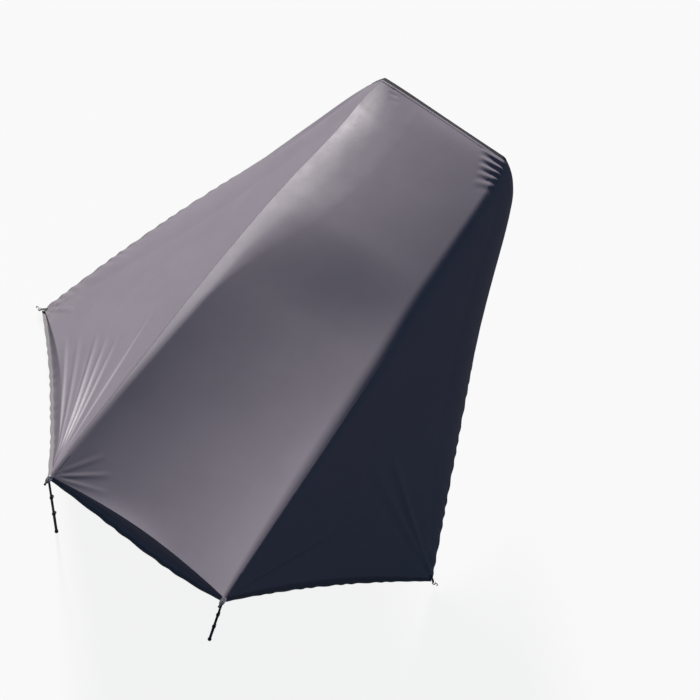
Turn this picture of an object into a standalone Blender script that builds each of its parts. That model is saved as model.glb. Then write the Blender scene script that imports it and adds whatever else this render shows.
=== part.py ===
"""Rear awning: a fabric canopy that runs from its front collar over a raised knee to two telescopic poles and
two pegged wing corners.

Metres, +Z up. The origin lies under the middle of the front collar. +Y points backwards from the collar, +X
to the left. The right side mirrors the left one."""

import math

import bmesh
import bpy
import numpy as np
from mathutils import Matrix, Vector

# The front edge from its level middle to its low ends, and the knee that lifts the ridges behind it
ROOF_HEIGHT = 1.75
ROOF_HALF_WIDTH = 0.60
SHOULDER_OUT = 0.17
SHOULDER_BACK = 0.04
SHOULDER_DROP = 0.22
SHOULDER_SHARE = 0.33
FLANK_OUT = 0.33
FLANK_BACK = 0.36
FLANK_DROP = 0.80
KNEE_BACK = 1.52
KNEE_RISE = 0.11
KNEE_HALF_WIDTH = 0.62

# The canopy's corners
WING_BEYOND_KNEE = 1.625
WING_HALF_WIDTH = 2.20
WING_CORNER_HEIGHT = 0.06
POLE_BEYOND_WING = 1.62
POLE_HALF_WIDTH = 0.85
POLE_CORNER_HEIGHT = 2.04

# How the fabric falls between them
FABRIC = 0.003
ROOF_SAG = 0.12
SAG_SHARE = 0.85
RIDGE_SAG = 0.02
WING_SAG = 0.03
WING_FOLD = 0.8
FOLD_SOFTNESS = 0.3
RIDGE_SOFT_FRONT = 0.26
RIDGE_SOFT_REAR = 0.03
RIDGE_SOFT_AT_COLLAR = 0.45
RIDGE_SOFT_FROM = 0.15
REAR_CURVE = 0.15
REAR_DIP = 0.05
WING_CURVE = 0.08
REAR_HEM_BOW = 0.02
VALANCE_DROP = 0.16
WING_VALANCE_DROP = 0.07
VALANCE_END = 0.025
DROP_KNEE = 0.65

# Edge bands and corner patches
HEM_WIDTH = 0.028
HEM_THICK = 0.004
COLLAR_WIDTH = 0.040
COLLAR_THICK = 0.009
ELASTIC_RADIUS = 0.003
PATCH_THICK = 0.002
TONGUE_WIDTH = 0.044
TONGUE_ROOT = 0.012
TONGUE_BEYOND_POLE = 0.034
TONGUE_TIP_WIDTH = 0.024
TONGUE_MARGIN = 0.004

# Webbing, rings and pegs
WEBBING_WIDTH = 0.025
WEBBING_THICK = 0.0025
EYE_CLEARANCE = 0.0004
EYE_NECK = 1.8
GUY_WEBBING_WIDTH = 0.016
GUY_EYE_RADIUS = 0.006
GUY_HOLD = 0.012
GUY_REACH = 0.022
PEG_WEBBING_HOLD = 0.045
PEG_WEBBING_REACH = 0.052
PEG_WEBBING_TAIL = 0.020
RING_WIRE_RADIUS = 0.0025
RING_HALF_WIDTH = 0.0165
RING_LEG = 0.008
PEG_RADIUS = 0.004
PEG_LENGTH = 0.24
PEG_LEAN = 15.0
PEG_HOOK_RADIUS = 0.012
PEG_TAIL = 0.014
PEG_HOOK_PLAY = 0.0024
PEG_POINT = 0.020

# Hook straps on the lower front corners
STRAP_HOLD = 0.045
STRAP_LENGTH = 0.17
STRAP_TAIL = 0.042
STRAP_SIDE_PLAY = 0.0008
ADJUSTER_AT = 0.075
ADJUSTER_HEIGHT = 0.028
ADJUSTER_BAR = 0.0045
ADJUSTER_RAIL = 0.0035
ADJUSTER_DEPTH = 0.008
ADJUSTER_CHAMFER = 0.002
HOOK_PLATE = 0.003
HOOK_BAR = 0.005
HOOK_SLOT = 0.010
HOOK_NECK = 0.020
HOOK_BEND_RADIUS = 0.009
HOOK_LIP = 0.010
HOOK_RAIL = 0.004

# Poles
UPPER_TUBE_RADIUS = 0.0095
TUBE_WALL = 0.0010
TUBE_CLEARANCE = 0.0004
TUBE_OVERLAP = 0.115
PLUG_LENGTH = 0.030
BALL_RADIUS = 0.0105
SPIKE_RADIUS = 0.0035
SPIKE_HEIGHT = 0.048
SPIKE_POINT = 0.006
BALL_SEAT = 0.004
GROMMET_BORE = 0.007
GROMMET_WALL = 0.0015
GROMMET_FLANGE = 0.014
GROMMET_FLANGE_THICK = 0.0015
FOOT_RADIUS = 0.018
FOOT_TOP_RADIUS = 0.0155
FOOT_HEIGHT = 0.042
FOOT_SOLE = 0.009
FOOT_CHAMFER = 0.002
FOOT_GROOVES = 3
FOOT_GROOVE_PITCH = 0.007
FOOT_GROOVE_DEPTH = 0.001
TUBE_EDGE = 0.0003

# Clamps on the tubes
CLAMP_WALL = 0.0045
CLAMP_HEIGHT = 0.024
CLAMP_CHAMFER = 0.0015
CLAMP_SLIT = 0.007
EAR_THICK = 0.004
EAR_BEYOND_PIN = 0.0045
PIN_RADIUS = 0.002
PIN_HEAD_RADIUS = 0.0032
PIN_HEAD_THICK = 0.0008
LEVER_HUB_RADIUS = 0.0050
LEVER_NECK = 0.0145
LEVER_LENGTH = 0.052
LEVER_WIDTH = 0.018
LEVER_THICK = 0.003
LEVER_SIDE_PLAY = 0.0005
LEVER_NECK_LAP = 0.006
LEVER_INSET = -0.0008
LEVER_FLICK = 0.004

# How far a cutter runs past what it cuts
CUT_PAST = 0.001

# Resting and running clearances
GAP = 0.0003
HUB_GAP = 0.0008

# Cells of the fabric: across half the roof, round each ridge, across a wing, front to rear and down a drop
ROOF_CELLS = 4
FILLET_CELLS = 4
WING_CELLS = 7
LENGTH_CELLS = 14
DROP_CELLS = 3
EDGE_CROWDING = 1.0

# Fabric points along each side of a corner patch, and sides of what is round
PATCH_POINTS = 3
TURNED_SIDES = 20
EYE_SIDES = 12

GROUND = -ROOF_HEIGHT
WING_BACK = KNEE_BACK + WING_BEYOND_KNEE
POLE_BACK = WING_BACK + POLE_BEYOND_WING
FRONT_EDGE = COLLAR_WIDTH / 2 + GAP
MIDDLE_TUBE_RADIUS = UPPER_TUBE_RADIUS + TUBE_CLEARANCE + TUBE_WALL
LOWER_TUBE_RADIUS = MIDDLE_TUBE_RADIUS + TUBE_CLEARANCE + TUBE_WALL
TONGUE_TO_POLE = TONGUE_ROOT + GROMMET_FLANGE + TONGUE_MARGIN
CORNER_BACK = POLE_BACK - TONGUE_TO_POLE
CORNER_RISE = POLE_CORNER_HEIGHT - ROOF_HEIGHT
UP = np.array([0.0, 0.0, 1.0])
BACK = np.array([0.0, 1.0, 0.0])


def clear_scene():
    for obj in list(bpy.data.objects):
        bpy.data.objects.remove(obj, do_unlink=True)


def make_material(name, colour, roughness, metallic=0.0):
    material = bpy.data.materials.new(name)
    material.use_nodes = True
    shader = material.node_tree.nodes["Principled BSDF"]
    shader.inputs["Base Color"].default_value = (*colour, 1.0)
    shader.inputs["Roughness"].default_value = roughness
    shader.inputs["Metallic"].default_value = metallic
    material.diffuse_color = (*colour, 1.0)
    return material


def materials():
    """The finishes, by name."""
    return {
        "canopy": make_material("canopy", (0.150, 0.142, 0.165), 0.50),
        "hem": make_material("hem", (0.240, 0.230, 0.245), 0.70),
        "webbing": make_material("webbing", (0.035, 0.035, 0.040), 0.85),
        "elastic": make_material("elastic", (0.012, 0.012, 0.014), 0.80),
        "steel": make_material("steel", (0.62, 0.62, 0.63), 0.30, 1.0),
        "tube": make_material("tube", (0.045, 0.046, 0.050), 0.40),
        "plastic": make_material("plastic", (0.030, 0.030, 0.033), 0.50),
        "rubber": make_material("rubber", (0.020, 0.020, 0.020), 0.90),
    }


# General shape makers


def unit(vectors):
    vectors = np.asarray(vectors, float)
    return vectors / np.linalg.norm(vectors, axis=-1, keepdims=True)


def link(name, data, material, place=None, parent=None):
    """A new object; place is its world matrix, and it keeps it under its parent."""
    obj = bpy.data.objects.new(name, data)
    bpy.context.scene.collection.objects.link(obj)
    if material is not None:
        data.materials.append(material)
    place = place or Matrix.Identity(4)
    if parent is not None:
        obj.parent = parent
        place = parent_place[parent.name].inverted() @ place
    obj.matrix_local = place
    parent_place[name] = parent_place[parent.name] @ place if parent is not None else place
    return obj


def smooth(mesh, degrees=35.0):
    mesh.shade_smooth()
    mesh.set_sharp_from_angle(angle=math.radians(degrees))


def from_bmesh(name, bm, material, place=None, parent=None):
    bmesh.ops.recalc_face_normals(bm, faces=bm.faces)
    mesh = bpy.data.meshes.new(name)
    bm.to_mesh(mesh)
    bm.free()
    smooth(mesh)
    return link(name, mesh, material, place, parent)


def sheet(name, points, normals, thick, material, lift=0.0, trims=(0, 0, 0, 0), parent=None):
    """A closed shell on a grid of points: thick across the normals, raised by lift. trims pulls in the first
    and last row and the first and last column, where another sheet adjoins. Each rim cell is split from its
    earlier point's top to its later point's bottom, so that two rims on one seam match."""
    points = np.array(points, float)
    for at, inner, trim in ((0, 1, trims[0]), (-1, -2, trims[1])):
        points[at] += trim * unit(points[inner] - points[at])
    for at, inner, trim in ((0, 1, trims[2]), (-1, -2, trims[3])):
        points[:, at] += trim * unit(points[:, inner] - points[:, at])
    rows, columns = points.shape[:2]
    top = points + normals * (lift + thick / 2)
    bottom = points + normals * (lift - thick / 2)
    index = np.arange(rows * columns).reshape(rows, columns)
    a, b, c, d = index[:-1, :-1], index[:-1, 1:], index[1:, 1:], index[1:, :-1]
    upper = np.concatenate([np.stack([a, b, c], -1).reshape(-1, 3), np.stack([a, c, d], -1).reshape(-1, 3)])
    lower = upper[:, ::-1] + rows * columns
    rim = np.concatenate([index[0, :], index[1:, -1], index[-1, -2::-1], index[-2:0:-1, 0]])
    ahead, below = np.roll(rim, -1), rows * columns
    rising = (rim < ahead)[:, None]
    first = np.stack([ahead, rim, np.where(rim < ahead, ahead, rim) + below], -1)
    second = np.where(rising, np.stack([rim, rim + below, ahead + below], -1),
                      np.stack([ahead, rim + below, ahead + below], -1))
    sides = np.concatenate([first, second])
    mesh = bpy.data.meshes.new(name)
    vertices = np.concatenate([top.reshape(-1, 3), bottom.reshape(-1, 3)])
    mesh.from_pydata(vertices.tolist(), [], upper.tolist() + lower.tolist() + sides.tolist())
    bm = bmesh.new()
    bm.from_mesh(mesh)
    bpy.data.meshes.remove(mesh)
    return from_bmesh(name, bm, material, parent=parent)


def turned(name, profile, material, place, parent=None, sides=TURNED_SIDES):
    """A closed profile of (radius, height) points turned round the Z axis."""
    bm = bmesh.new()
    ring = [bm.verts.new((radius, 0.0, height)) for radius, height in profile]
    edges = [bm.edges.new((ring[i], ring[(i + 1) % len(ring)])) for i in range(len(ring))]
    on_axis = [edge for edge in edges if max(abs(v.co.x) for v in edge.verts) < 1e-9]
    bmesh.ops.delete(bm, geom=on_axis, context="EDGES_FACES")
    bmesh.ops.spin(
        bm,
        geom=bm.verts[:] + bm.edges[:],
        cent=(0, 0, 0),
        axis=(0, 0, 1),
        angle=2 * math.pi,
        steps=sides,
        use_merge=False,
    )
    bmesh.ops.remove_doubles(bm, verts=bm.verts, dist=1e-6)
    return from_bmesh(name, bm, material, place, parent)


def extruded(name, outline, width, material, place, parent=None):
    """An outline of (x, z) points, width deep along Y and centred on it."""
    bm = bmesh.new()
    face = bm.faces.new([bm.verts.new((x, -width / 2, z)) for x, z in outline])
    made = bmesh.ops.extrude_face_region(bm, geom=[face])["geom"]
    moved = [item for item in made if isinstance(item, bmesh.types.BMVert)]
    bmesh.ops.translate(bm, verts=moved, vec=(0, width, 0))
    return from_bmesh(name, bm, material, place, parent)


def box(name, low, high, place):
    """A plain cutter or a bar to be joined: hidden, and left out of the model."""
    bm = bmesh.new()
    bmesh.ops.create_cube(bm, size=1.0)
    size = Vector(high) - Vector(low)
    bmesh.ops.scale(bm, vec=size, verts=bm.verts)
    bmesh.ops.translate(bm, vec=Vector(low) + size / 2, verts=bm.verts)
    return helper(from_bmesh(name, bm, None, place))


def helper(obj):
    obj.hide_render = True
    obj.display_type = "WIRE"
    return obj


def combine(obj, other, operation):
    modifier = obj.modifiers.new(other.name, "BOOLEAN")
    modifier.object = other
    modifier.operation = operation
    modifier.solver = "EXACT"


def wire(name, points, radius, material, place=None, parent=None, closed=False, tip=1.0):
    """A round wire or cord along points, with its last point scaled by tip."""
    curve = bpy.data.curves.new(name, "CURVE")
    curve.dimensions = "3D"
    curve.bevel_depth = radius
    curve.bevel_resolution = 2
    curve.use_fill_caps = not closed
    spline = curve.splines.new("POLY")
    spline.points.add(len(points) - 1)
    for spot, co in zip(spline.points, points):
        spot.co = (*co, 1.0)
    spline.points[-1].radius = tip
    spline.use_cyclic_u = closed
    spline.use_smooth = True
    return link(name, curve, material, place, parent)


def arc(centre, radius, start, end, steps):
    """Points on a circle from one angle to the other, in degrees."""
    angles = np.radians(np.linspace(start, end, steps + 1))
    return [(centre[0] + radius * math.cos(a), centre[1] + radius * math.sin(a)) for a in angles]


def band_outline(centre_line, thick):
    """The outline of a band of even thickness along a line of (x, z) points."""
    line = np.array(centre_line)
    along = unit(np.gradient(line, axis=0))
    across = np.stack([-along[:, 1], along[:, 0]], -1) * thick / 2
    return np.concatenate([line + across, (line - across)[::-1]]).tolist()


def place_at(origin, x_axis, z_axis):
    """A world matrix from an origin and two square axes."""
    x_axis, z_axis = Vector(x_axis).normalized(), Vector(z_axis).normalized()
    y_axis = z_axis.cross(x_axis)
    turn = Matrix((x_axis, y_axis, z_axis)).transposed().to_4x4()
    return Matrix.Translation(Vector(origin)) @ turn


# The canopy's surface


def ridge(v):
    """The left ridge at v, 0 at the collar to 1 at the pole corner: straight up to the knee, and
    from there to the pole corner with a little sag."""
    y = FRONT_EDGE + (CORNER_BACK - FRONT_EDGE) * v
    knots = (FRONT_EDGE, KNEE_BACK, CORNER_BACK)
    x = np.interp(y, knots, (ROOF_HALF_WIDTH, KNEE_HALF_WIDTH, POLE_HALF_WIDTH))
    z = FABRIC / 2 + np.interp(y, knots, (0.0, KNEE_RISE, CORNER_RISE))
    free = np.clip((y - KNEE_BACK) / (CORNER_BACK - KNEE_BACK), 0, 1)
    return np.stack([x, y, z - RIDGE_SAG * 4 * free * (1 - free)], -1)


def front_curve(t):
    """The front edge at t, from the roof's corner round its shoulder to its low end."""
    marks = np.array([
        (ROOF_HALF_WIDTH, FRONT_EDGE, FABRIC / 2),
        (ROOF_HALF_WIDTH + SHOULDER_OUT, FRONT_EDGE + SHOULDER_BACK, -SHOULDER_DROP),
        (ROOF_HALF_WIDTH + FLANK_OUT, FRONT_EDGE + FLANK_BACK, -FLANK_DROP),
    ])
    t = np.asarray(t, float)[..., None]
    first = (t - SHOULDER_SHARE) * (t - 1) / SHOULDER_SHARE
    middle = t * (t - 1) / (SHOULDER_SHARE * (SHOULDER_SHARE - 1))
    last = t * (t - SHOULDER_SHARE) / (1 - SHOULDER_SHARE)
    return first * marks[0] + middle * marks[1] + last * marks[2]


def wing_corner():
    return np.array([WING_HALF_WIDTH, WING_BACK, GROUND + WING_CORNER_HEIGHT])


def wing_inward():
    """The level direction from the rear edge between pole corner and wing corner into the canopy."""
    run = wing_corner() - ridge(np.array(1.0))
    return unit(np.array([run[1], -run[0], 0.0]))


def wing(t, v):
    """The left wing: a patch between ridge, front edge, lower edge and rear edge. A soft outward fold runs
    from the roof's corner to the wing corner, and the front edge's roundness dies out along it."""
    t, v = np.broadcast_arrays(np.asarray(t, float), np.asarray(v, float))
    top, flank, low, high = front_curve(0.0), front_curve(1.0), wing_corner(), ridge(np.array(1.0))
    before, behind = t * (1 - v), v * (1 - t)
    lesser = (before + behind - np.sqrt((before - behind) ** 2 + FOLD_SOFTNESS * before * behind)) / 2
    fan = np.clip((t - v) / np.maximum(1 - v, 1e-6), 0, 1)
    t, v = t[..., None], v[..., None]
    flat = (1 - t) * ((1 - v) * top + v * high) + t * ((1 - v) * flank + v * low)
    ridge_part = (1 - t) * (ridge(v[..., 0]) - (1 - v) * top - v * high)
    round_part = sum(
        front_curve(share) - top - share[..., None] * (flank - top) for share in (t[..., 0], fan)
    ) / 2
    rear_part = v * WING_CURVE * 4 * t * (1 - t) * wing_inward()
    fold_part = WING_FOLD * lesser[..., None] * (low - high - flank + top)
    sag = WING_SAG * 4 * t * (1 - t) * np.sin(math.pi * v) * unit(np.array([-0.7, 0.0, -0.7]))
    return flat + ridge_part + (1 - v) * round_part + rear_part + fold_part + sag


def roof(share, v):
    """The roof at a share of the half width: level near the collar, a saddle between the ridges, drawn in at
    the rear edge."""
    edge = ridge(v)
    free = np.clip((v * CORNER_BACK - KNEE_BACK) / (CORNER_BACK - KNEE_BACK), 0, 1)
    sag = ROOF_SAG * np.sin(math.pi * free * SAG_SHARE) + REAR_DIP * free**3
    bowl = 1 - share**2
    return np.stack(
        [edge[..., 0] * share, edge[..., 1] - REAR_CURVE * v**5 * bowl, edge[..., 2] - sag * bowl], -1
    )


def softness(v):
    """How far from the ridge its rounding starts, on either side."""
    near_collar = RIDGE_SOFT_AT_COLLAR + (1 - RIDGE_SOFT_AT_COLLAR) * np.clip(v / RIDGE_SOFT_FROM, 0, 1)
    return RIDGE_SOFT_REAR + (RIDGE_SOFT_FRONT - RIDGE_SOFT_REAR) * (1 - v) ** 1.5 * near_collar


def eased(cells, ease):
    """Shares from 0 to 1 that crowd towards both ends."""
    even = np.linspace(0, 1, cells + 1)
    return (1 - ease) * even + ease * (1 - np.cos(math.pi * even)) / 2


def section(v):
    """Points across the left half of the canopy at v, from the middle over the ridge to the lower edge."""
    soft = softness(v)
    corner = ridge(v)
    starts = 1 - soft / corner[0]
    across = [roof(share * starts, v) for share in np.linspace(0, 1, ROOF_CELLS + 1)]
    length = np.linalg.norm(wing(1.0, v) - corner)
    begins = soft / length
    roof_side, wing_side = across[-1], wing(begins, v)
    for bend in np.linspace(0, 1, FILLET_CELLS + 1)[1:-1]:
        across.append((1 - bend) ** 2 * roof_side + 2 * bend * (1 - bend) * corner + bend**2 * wing_side)
    shares = begins + (1 - begins) * eased(WING_CELLS, EDGE_CROWDING)
    return np.array(across + [wing(share, v) for share in shares])


def canopy_grid():
    """All points of the canopy, front to rear and from the right lower edge to the left one."""
    left = np.array([section(v) for v in eased(LENGTH_CELLS, EDGE_CROWDING)])
    right = left[:, :0:-1] * np.array([-1.0, 1.0, 1.0])
    return np.concatenate([right, left], axis=1)


def grid_normals(points):
    along, across = np.gradient(points, axis=0), np.gradient(points, axis=1)
    return unit(np.cross(across, along))


MIDDLE = ROOF_CELLS + FILLET_CELLS + WING_CELLS
SEAM = ROOF_CELLS + FILLET_CELLS // 2
LEFT_SEAM, RIGHT_SEAM = MIDDLE + SEAM, MIDDLE - SEAM


def canopy_normals(points):
    """Normals of the panels; the front row's stand square to the collar, which lies level."""
    normals = grid_normals(points)
    path = unit(np.gradient(points[0], axis=0))
    normals[0] = unit(np.cross(path, BACK))
    return normals


def drop_grid(crest, hem):
    """A drop from its crest to its hem, leaving the crest level and rolling over."""
    knee = crest + DROP_KNEE * (hem - crest) * np.array([1, 1, 0])
    bends = np.linspace(0, 1, DROP_CELLS + 1)[:, None, None]
    return (1 - bends) ** 2 * crest + 2 * bends * (1 - bends) * knee + bends**2 * hem


def mirror(points):
    """The same columns on the other side, kept in the order that leaves normals outward."""
    return points[:, ::-1] * np.array([-1.0, 1.0, 1.0])


def fabric(finish):
    """The three panels, the drops with their hems, and the lower hems."""
    points = canopy_grid()
    normals = canopy_normals(points)
    roof_columns = slice(RIGHT_SEAM + 1, LEFT_SEAM)
    wing_columns = slice(LEFT_SEAM + PATCH_POINTS - 1, -1)

    crest = points[-1, roof_columns]
    share = crest[:, 0] / POLE_HALF_WIDTH
    hem = np.stack([crest[:, 0], CORNER_BACK + REAR_HEM_BOW * (1 - share**2),
                    crest[:, 2] - VALANCE_END - VALANCE_DROP * (1 - share**2)], -1)
    rear = drop_grid(crest, hem)

    crest = points[-1, wing_columns]
    out = np.linalg.norm(crest - ridge(np.array(1.0)), axis=-1)
    out /= np.linalg.norm(wing_corner() - ridge(np.array(1.0)))
    bulge = 4 * out * (1 - out)
    hem = crest - bulge[:, None] * WING_CURVE * wing_inward()
    hem = hem - UP * (VALANCE_END + WING_VALANCE_DROP * bulge)[:, None]
    side = drop_grid(crest, hem)

    fits = {}
    for key, grid, columns in (("rear", rear, roof_columns), ("left", side, wing_columns)):
        drop_normals = grid_normals(grid)
        drop_normals[0] = unit(drop_normals[0] + normals[-1, columns])
        normals[-1, columns] = drop_normals[0]
        fits[key] = drop_normals
    normals[-1, : MIDDLE + 1] = (normals[-1, MIDDLE:] * np.array([-1.0, 1.0, 1.0]))[::-1]

    half = GAP / 2
    sheet("roof_panel", points[:, RIGHT_SEAM:LEFT_SEAM + 1], normals[:, RIGHT_SEAM:LEFT_SEAM + 1], FABRIC,
          finish["canopy"], trims=(0, half, half, half))
    sheet("left_wing_panel", points[:, LEFT_SEAM:], normals[:, LEFT_SEAM:], FABRIC, finish["canopy"],
          trims=(0, half, half, half))
    sheet("right_wing_panel", points[:, :RIGHT_SEAM + 1], normals[:, :RIGHT_SEAM + 1], FABRIC,
          finish["canopy"], trims=(0, half, half, half))
    drop("rear", rear, fits["rear"], finish)
    drop("left_rear", side, fits["left"], finish)
    drop("right_rear", mirror(side), mirror(fits["left"]), finish)

    run = unit(points[:, -1] - points[:, -2])
    lower = np.stack([points[:, -1] + run * half, points[:, -1] + run * HEM_WIDTH], 1)
    lower_normals = np.stack([normals[:, -1], normals[:, -1]], 1)
    sheet("left_front_hem_tape", lower, lower_normals, HEM_THICK, finish["hem"])
    sheet("right_front_hem_tape", mirror(lower), mirror(lower_normals), HEM_THICK, finish["hem"])
    return points, normals


def drop(side, grid, normals, finish):
    """One drop and the hem tape below it."""
    half = GAP / 2
    sheet(f"{side}_valance", grid, normals, FABRIC, finish["canopy"], trims=(half, half, 0, 0))
    fall = unit(grid[-1] - grid[-2])
    tape = np.stack([grid[-1] + fall * half, grid[-1] + fall * HEM_WIDTH])
    sheet(f"{side}_hem_tape", tape, np.stack([normals[-1], normals[-1]]), HEM_THICK, finish["hem"])


def collar(points, normals, finish):
    """The band along the front edge and the elastic cord before it, from one low end to the other."""
    path, lift = points[0], normals[0]
    along = unit(np.gradient(path, axis=0))
    forward = unit(np.cross(lift, along))
    forward *= np.sign(-forward[:, 1:2])
    outline = ((0, 0), (1, 0), (1, 0.6), (0.8, 1), (0.2, 1), (0, 0.6))
    sections = [
        path + forward * (GAP + COLLAR_WIDTH * reach) + lift * (COLLAR_THICK * rise - FABRIC / 2)
        for reach, rise in outline
    ]
    bm = bmesh.new()
    rings = [[bm.verts.new(p) for p in np.array(sections)[:, i]] for i in range(len(path))]
    for first, second in zip(rings, rings[1:]):
        for k in range(len(outline)):
            m = (k + 1) % len(outline)
            bm.faces.new((first[k], first[m], second[m], second[k]))
    bm.faces.new(rings[0])
    bm.faces.new(rings[-1][::-1])
    from_bmesh("front_collar", bm, finish["canopy"])
    reach = 2 * GAP + COLLAR_WIDTH + ELASTIC_RADIUS
    cord = path + forward * reach + lift * (ELASTIC_RADIUS - FABRIC / 2)
    wire("collar_elastic", cord.tolist(), ELASTIC_RADIUS, finish["elastic"])
    return path, forward, lift


# Webbing with an eye at its end


def eye_webbing(name, hold, reach, tail, below, eye, width, finish, place):
    """Webbing along X on its carrier, from -hold to reach, folded round an eye under its end. The folded end
    runs back below the upper one, as far as tail, and the neck between leaves the eye along its tangent.
    Returns the eye's centre in the webbing's own frame."""
    middle = eye + WEBBING_THICK / 2
    lift = WEBBING_THICK / 2
    centre = (reach, lift - middle)
    neck = (reach - EYE_NECK * middle, lift - below)
    away = (neck[0] - centre[0], neck[1] - centre[1])
    leave = math.degrees(math.atan2(away[1], away[0]) + math.acos(middle / math.hypot(*away)))
    turn = leave - 360 if leave > 0 else leave
    line = [(-hold, lift)] + arc(centre, middle, 90, turn, EYE_SIDES) + [neck, (tail, neck[1])]
    extruded(name, band_outline(line, WEBBING_THICK), width, finish["webbing"], place)
    return Vector((reach, 0, lift - middle))


# The corners


def on_side(side, vector):
    """Turns a left side vector into this side's."""
    return np.asarray(vector, float) * np.array([side, 1.0, 1.0])


def pole_corner(side, word, points, normals, finish):
    """Patch with its tongue, grommet and guy loop. Returns the middle of the tongue over the pole."""
    columns = slice(LEFT_SEAM - PATCH_POINTS + 1, LEFT_SEAM + PATCH_POINTS)
    rows = slice(-PATCH_POINTS, None)
    lift = FABRIC / 2 + GAP + PATCH_THICK / 2
    grid = points[rows, columns] + normals[rows, columns] * lift
    spread = normals[rows, columns]
    level = float(grid[-1, :, 2].max())
    ends = ((TONGUE_ROOT, TONGUE_WIDTH), (TONGUE_TO_POLE + GROMMET_FLANGE, TONGUE_WIDTH),
            (TONGUE_TO_POLE + TONGUE_BEYOND_POLE, TONGUE_TIP_WIDTH))
    count = grid.shape[1]
    for beyond, width in ends:
        across = POLE_HALF_WIDTH + np.linspace(-width / 2, width / 2, count)
        row = np.stack([across, np.full(count, CORNER_BACK + beyond), np.full(count, level)], -1)
        grid = np.concatenate([grid, row[None]])
        spread = np.concatenate([spread, np.broadcast_to(UP, (1, count, 3))])
    if side < 0:
        grid, spread = mirror(grid), mirror(spread)
    patch = sheet(f"{word}_pole_patch", grid, spread, PATCH_THICK, finish["canopy"])
    eye = Vector((side * POLE_HALF_WIDTH, POLE_BACK, level))
    hole_radius = GROMMET_BORE + GROMMET_WALL + GAP
    depth = PATCH_THICK / 2 + CUT_PAST
    hole_line = [(0, -depth), (hole_radius, -depth), (hole_radius, depth), (0, depth)]
    hole = turned(f"{word}_patch_hole", hole_line, None, Matrix.Translation(eye))
    combine(patch, helper(hole), "DIFFERENCE")

    inner, neck, rim = GROMMET_BORE, GROMMET_BORE + GROMMET_WALL, GROMMET_FLANGE
    seat = PATCH_THICK / 2 + GAP
    face = seat + GROMMET_FLANGE_THICK
    edge = rim - GROMMET_FLANGE_THICK / 2
    profile = [(inner, -face), (edge, -face), (rim, -seat), (neck, -seat), (neck, seat), (rim, seat),
               (edge, face), (inner, face)]
    turned(f"{word}_pole_grommet", profile, finish["steel"], Matrix.Translation(eye))

    top = eye + Vector((0, GROMMET_FLANGE + GUY_HOLD + CUT_PAST, PATCH_THICK / 2 + GAP))
    place = place_at(top, BACK, UP)
    sandwich = WEBBING_THICK + PATCH_THICK + 2 * GAP
    eye_webbing(f"{word}_guy_loop", GUY_HOLD, GUY_REACH, -GUY_HOLD, sandwich, GUY_EYE_RADIUS,
                GUY_WEBBING_WIDTH, finish, place)
    return eye


def wing_patch_and_peg(side, word, points, normals, finish):
    """Patch, webbing, ring and peg at a wing corner. The ring's origin lies on its bar's axis."""
    rows, columns = slice(-PATCH_POINTS, None), slice(1 - PATCH_POINTS, None)
    grid, spread = points[rows, columns], normals[rows, columns]
    corner, beside, ahead = grid[-1, -1], grid[-1, -2], grid[-2, -1]
    up = unit(np.cross(beside - corner, ahead - corner))
    up = up * np.sign(up[2])
    outward = -unit(unit(beside - corner) + unit(ahead - corner))
    lift = FABRIC / 2 + GAP + PATCH_THICK / 2
    if side < 0:
        grid, spread = mirror(grid), mirror(spread)
    sheet(f"{word}_wing_patch", grid, spread, PATCH_THICK, finish["canopy"], lift=lift)
    on_top = corner + up * (FABRIC / 2 + 2 * GAP + PATCH_THICK + GAP)
    place = place_at(on_side(side, on_top), on_side(side, outward), on_side(side, up))
    eye = RING_WIRE_RADIUS + EYE_CLEARANCE
    tail = PEG_WEBBING_REACH - PEG_WEBBING_TAIL
    bar = eye_webbing(f"{word}_peg_webbing", PEG_WEBBING_HOLD, PEG_WEBBING_REACH, tail, WEBBING_THICK + GAP,
                      eye, WEBBING_WIDTH, finish, place)

    centre = place @ bar
    axis = place.col[1].to_3d()
    upright = (Vector(UP) - axis * axis.z).normalized()
    ring_place = place_at(centre, axis.cross(upright), upright)
    far = arc((RING_LEG, 0), RING_HALF_WIDTH, -90, 90, 10)
    loop = [(x, y, 0) for x, y in far] + [(0, RING_HALF_WIDTH, 0), (0, -RING_HALF_WIDTH, 0)]
    ring = wire(f"{word}_peg_ring", loop, RING_WIRE_RADIUS, finish["steel"], ring_place, closed=True)

    lean = math.radians(PEG_LEAN)
    stand = RING_LEG + RING_HALF_WIDTH - (RING_WIRE_RADIUS + GAP + PEG_RADIUS) / math.cos(lean)
    turn = Matrix.Rotation(lean, 4, "Y")
    peg_place = ring_place @ Matrix.Translation((stand, 0, 0)) @ turn
    top = RING_WIRE_RADIUS + PEG_HOOK_RADIUS + PEG_HOOK_PLAY
    hook = arc((PEG_HOOK_RADIUS, top), PEG_HOOK_RADIUS, 0, 180, 8)
    line = [(2 * PEG_HOOK_RADIUS, 0, top - PEG_TAIL)] + [(x, 0, z) for x, z in hook]
    line += [(0, 0, top - PEG_LENGTH + PEG_POINT), (0, 0, top - PEG_LENGTH)]
    wire(f"{word}_ground_peg", line, PEG_RADIUS, finish["steel"], peg_place, parent=ring, tip=0.15)


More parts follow.
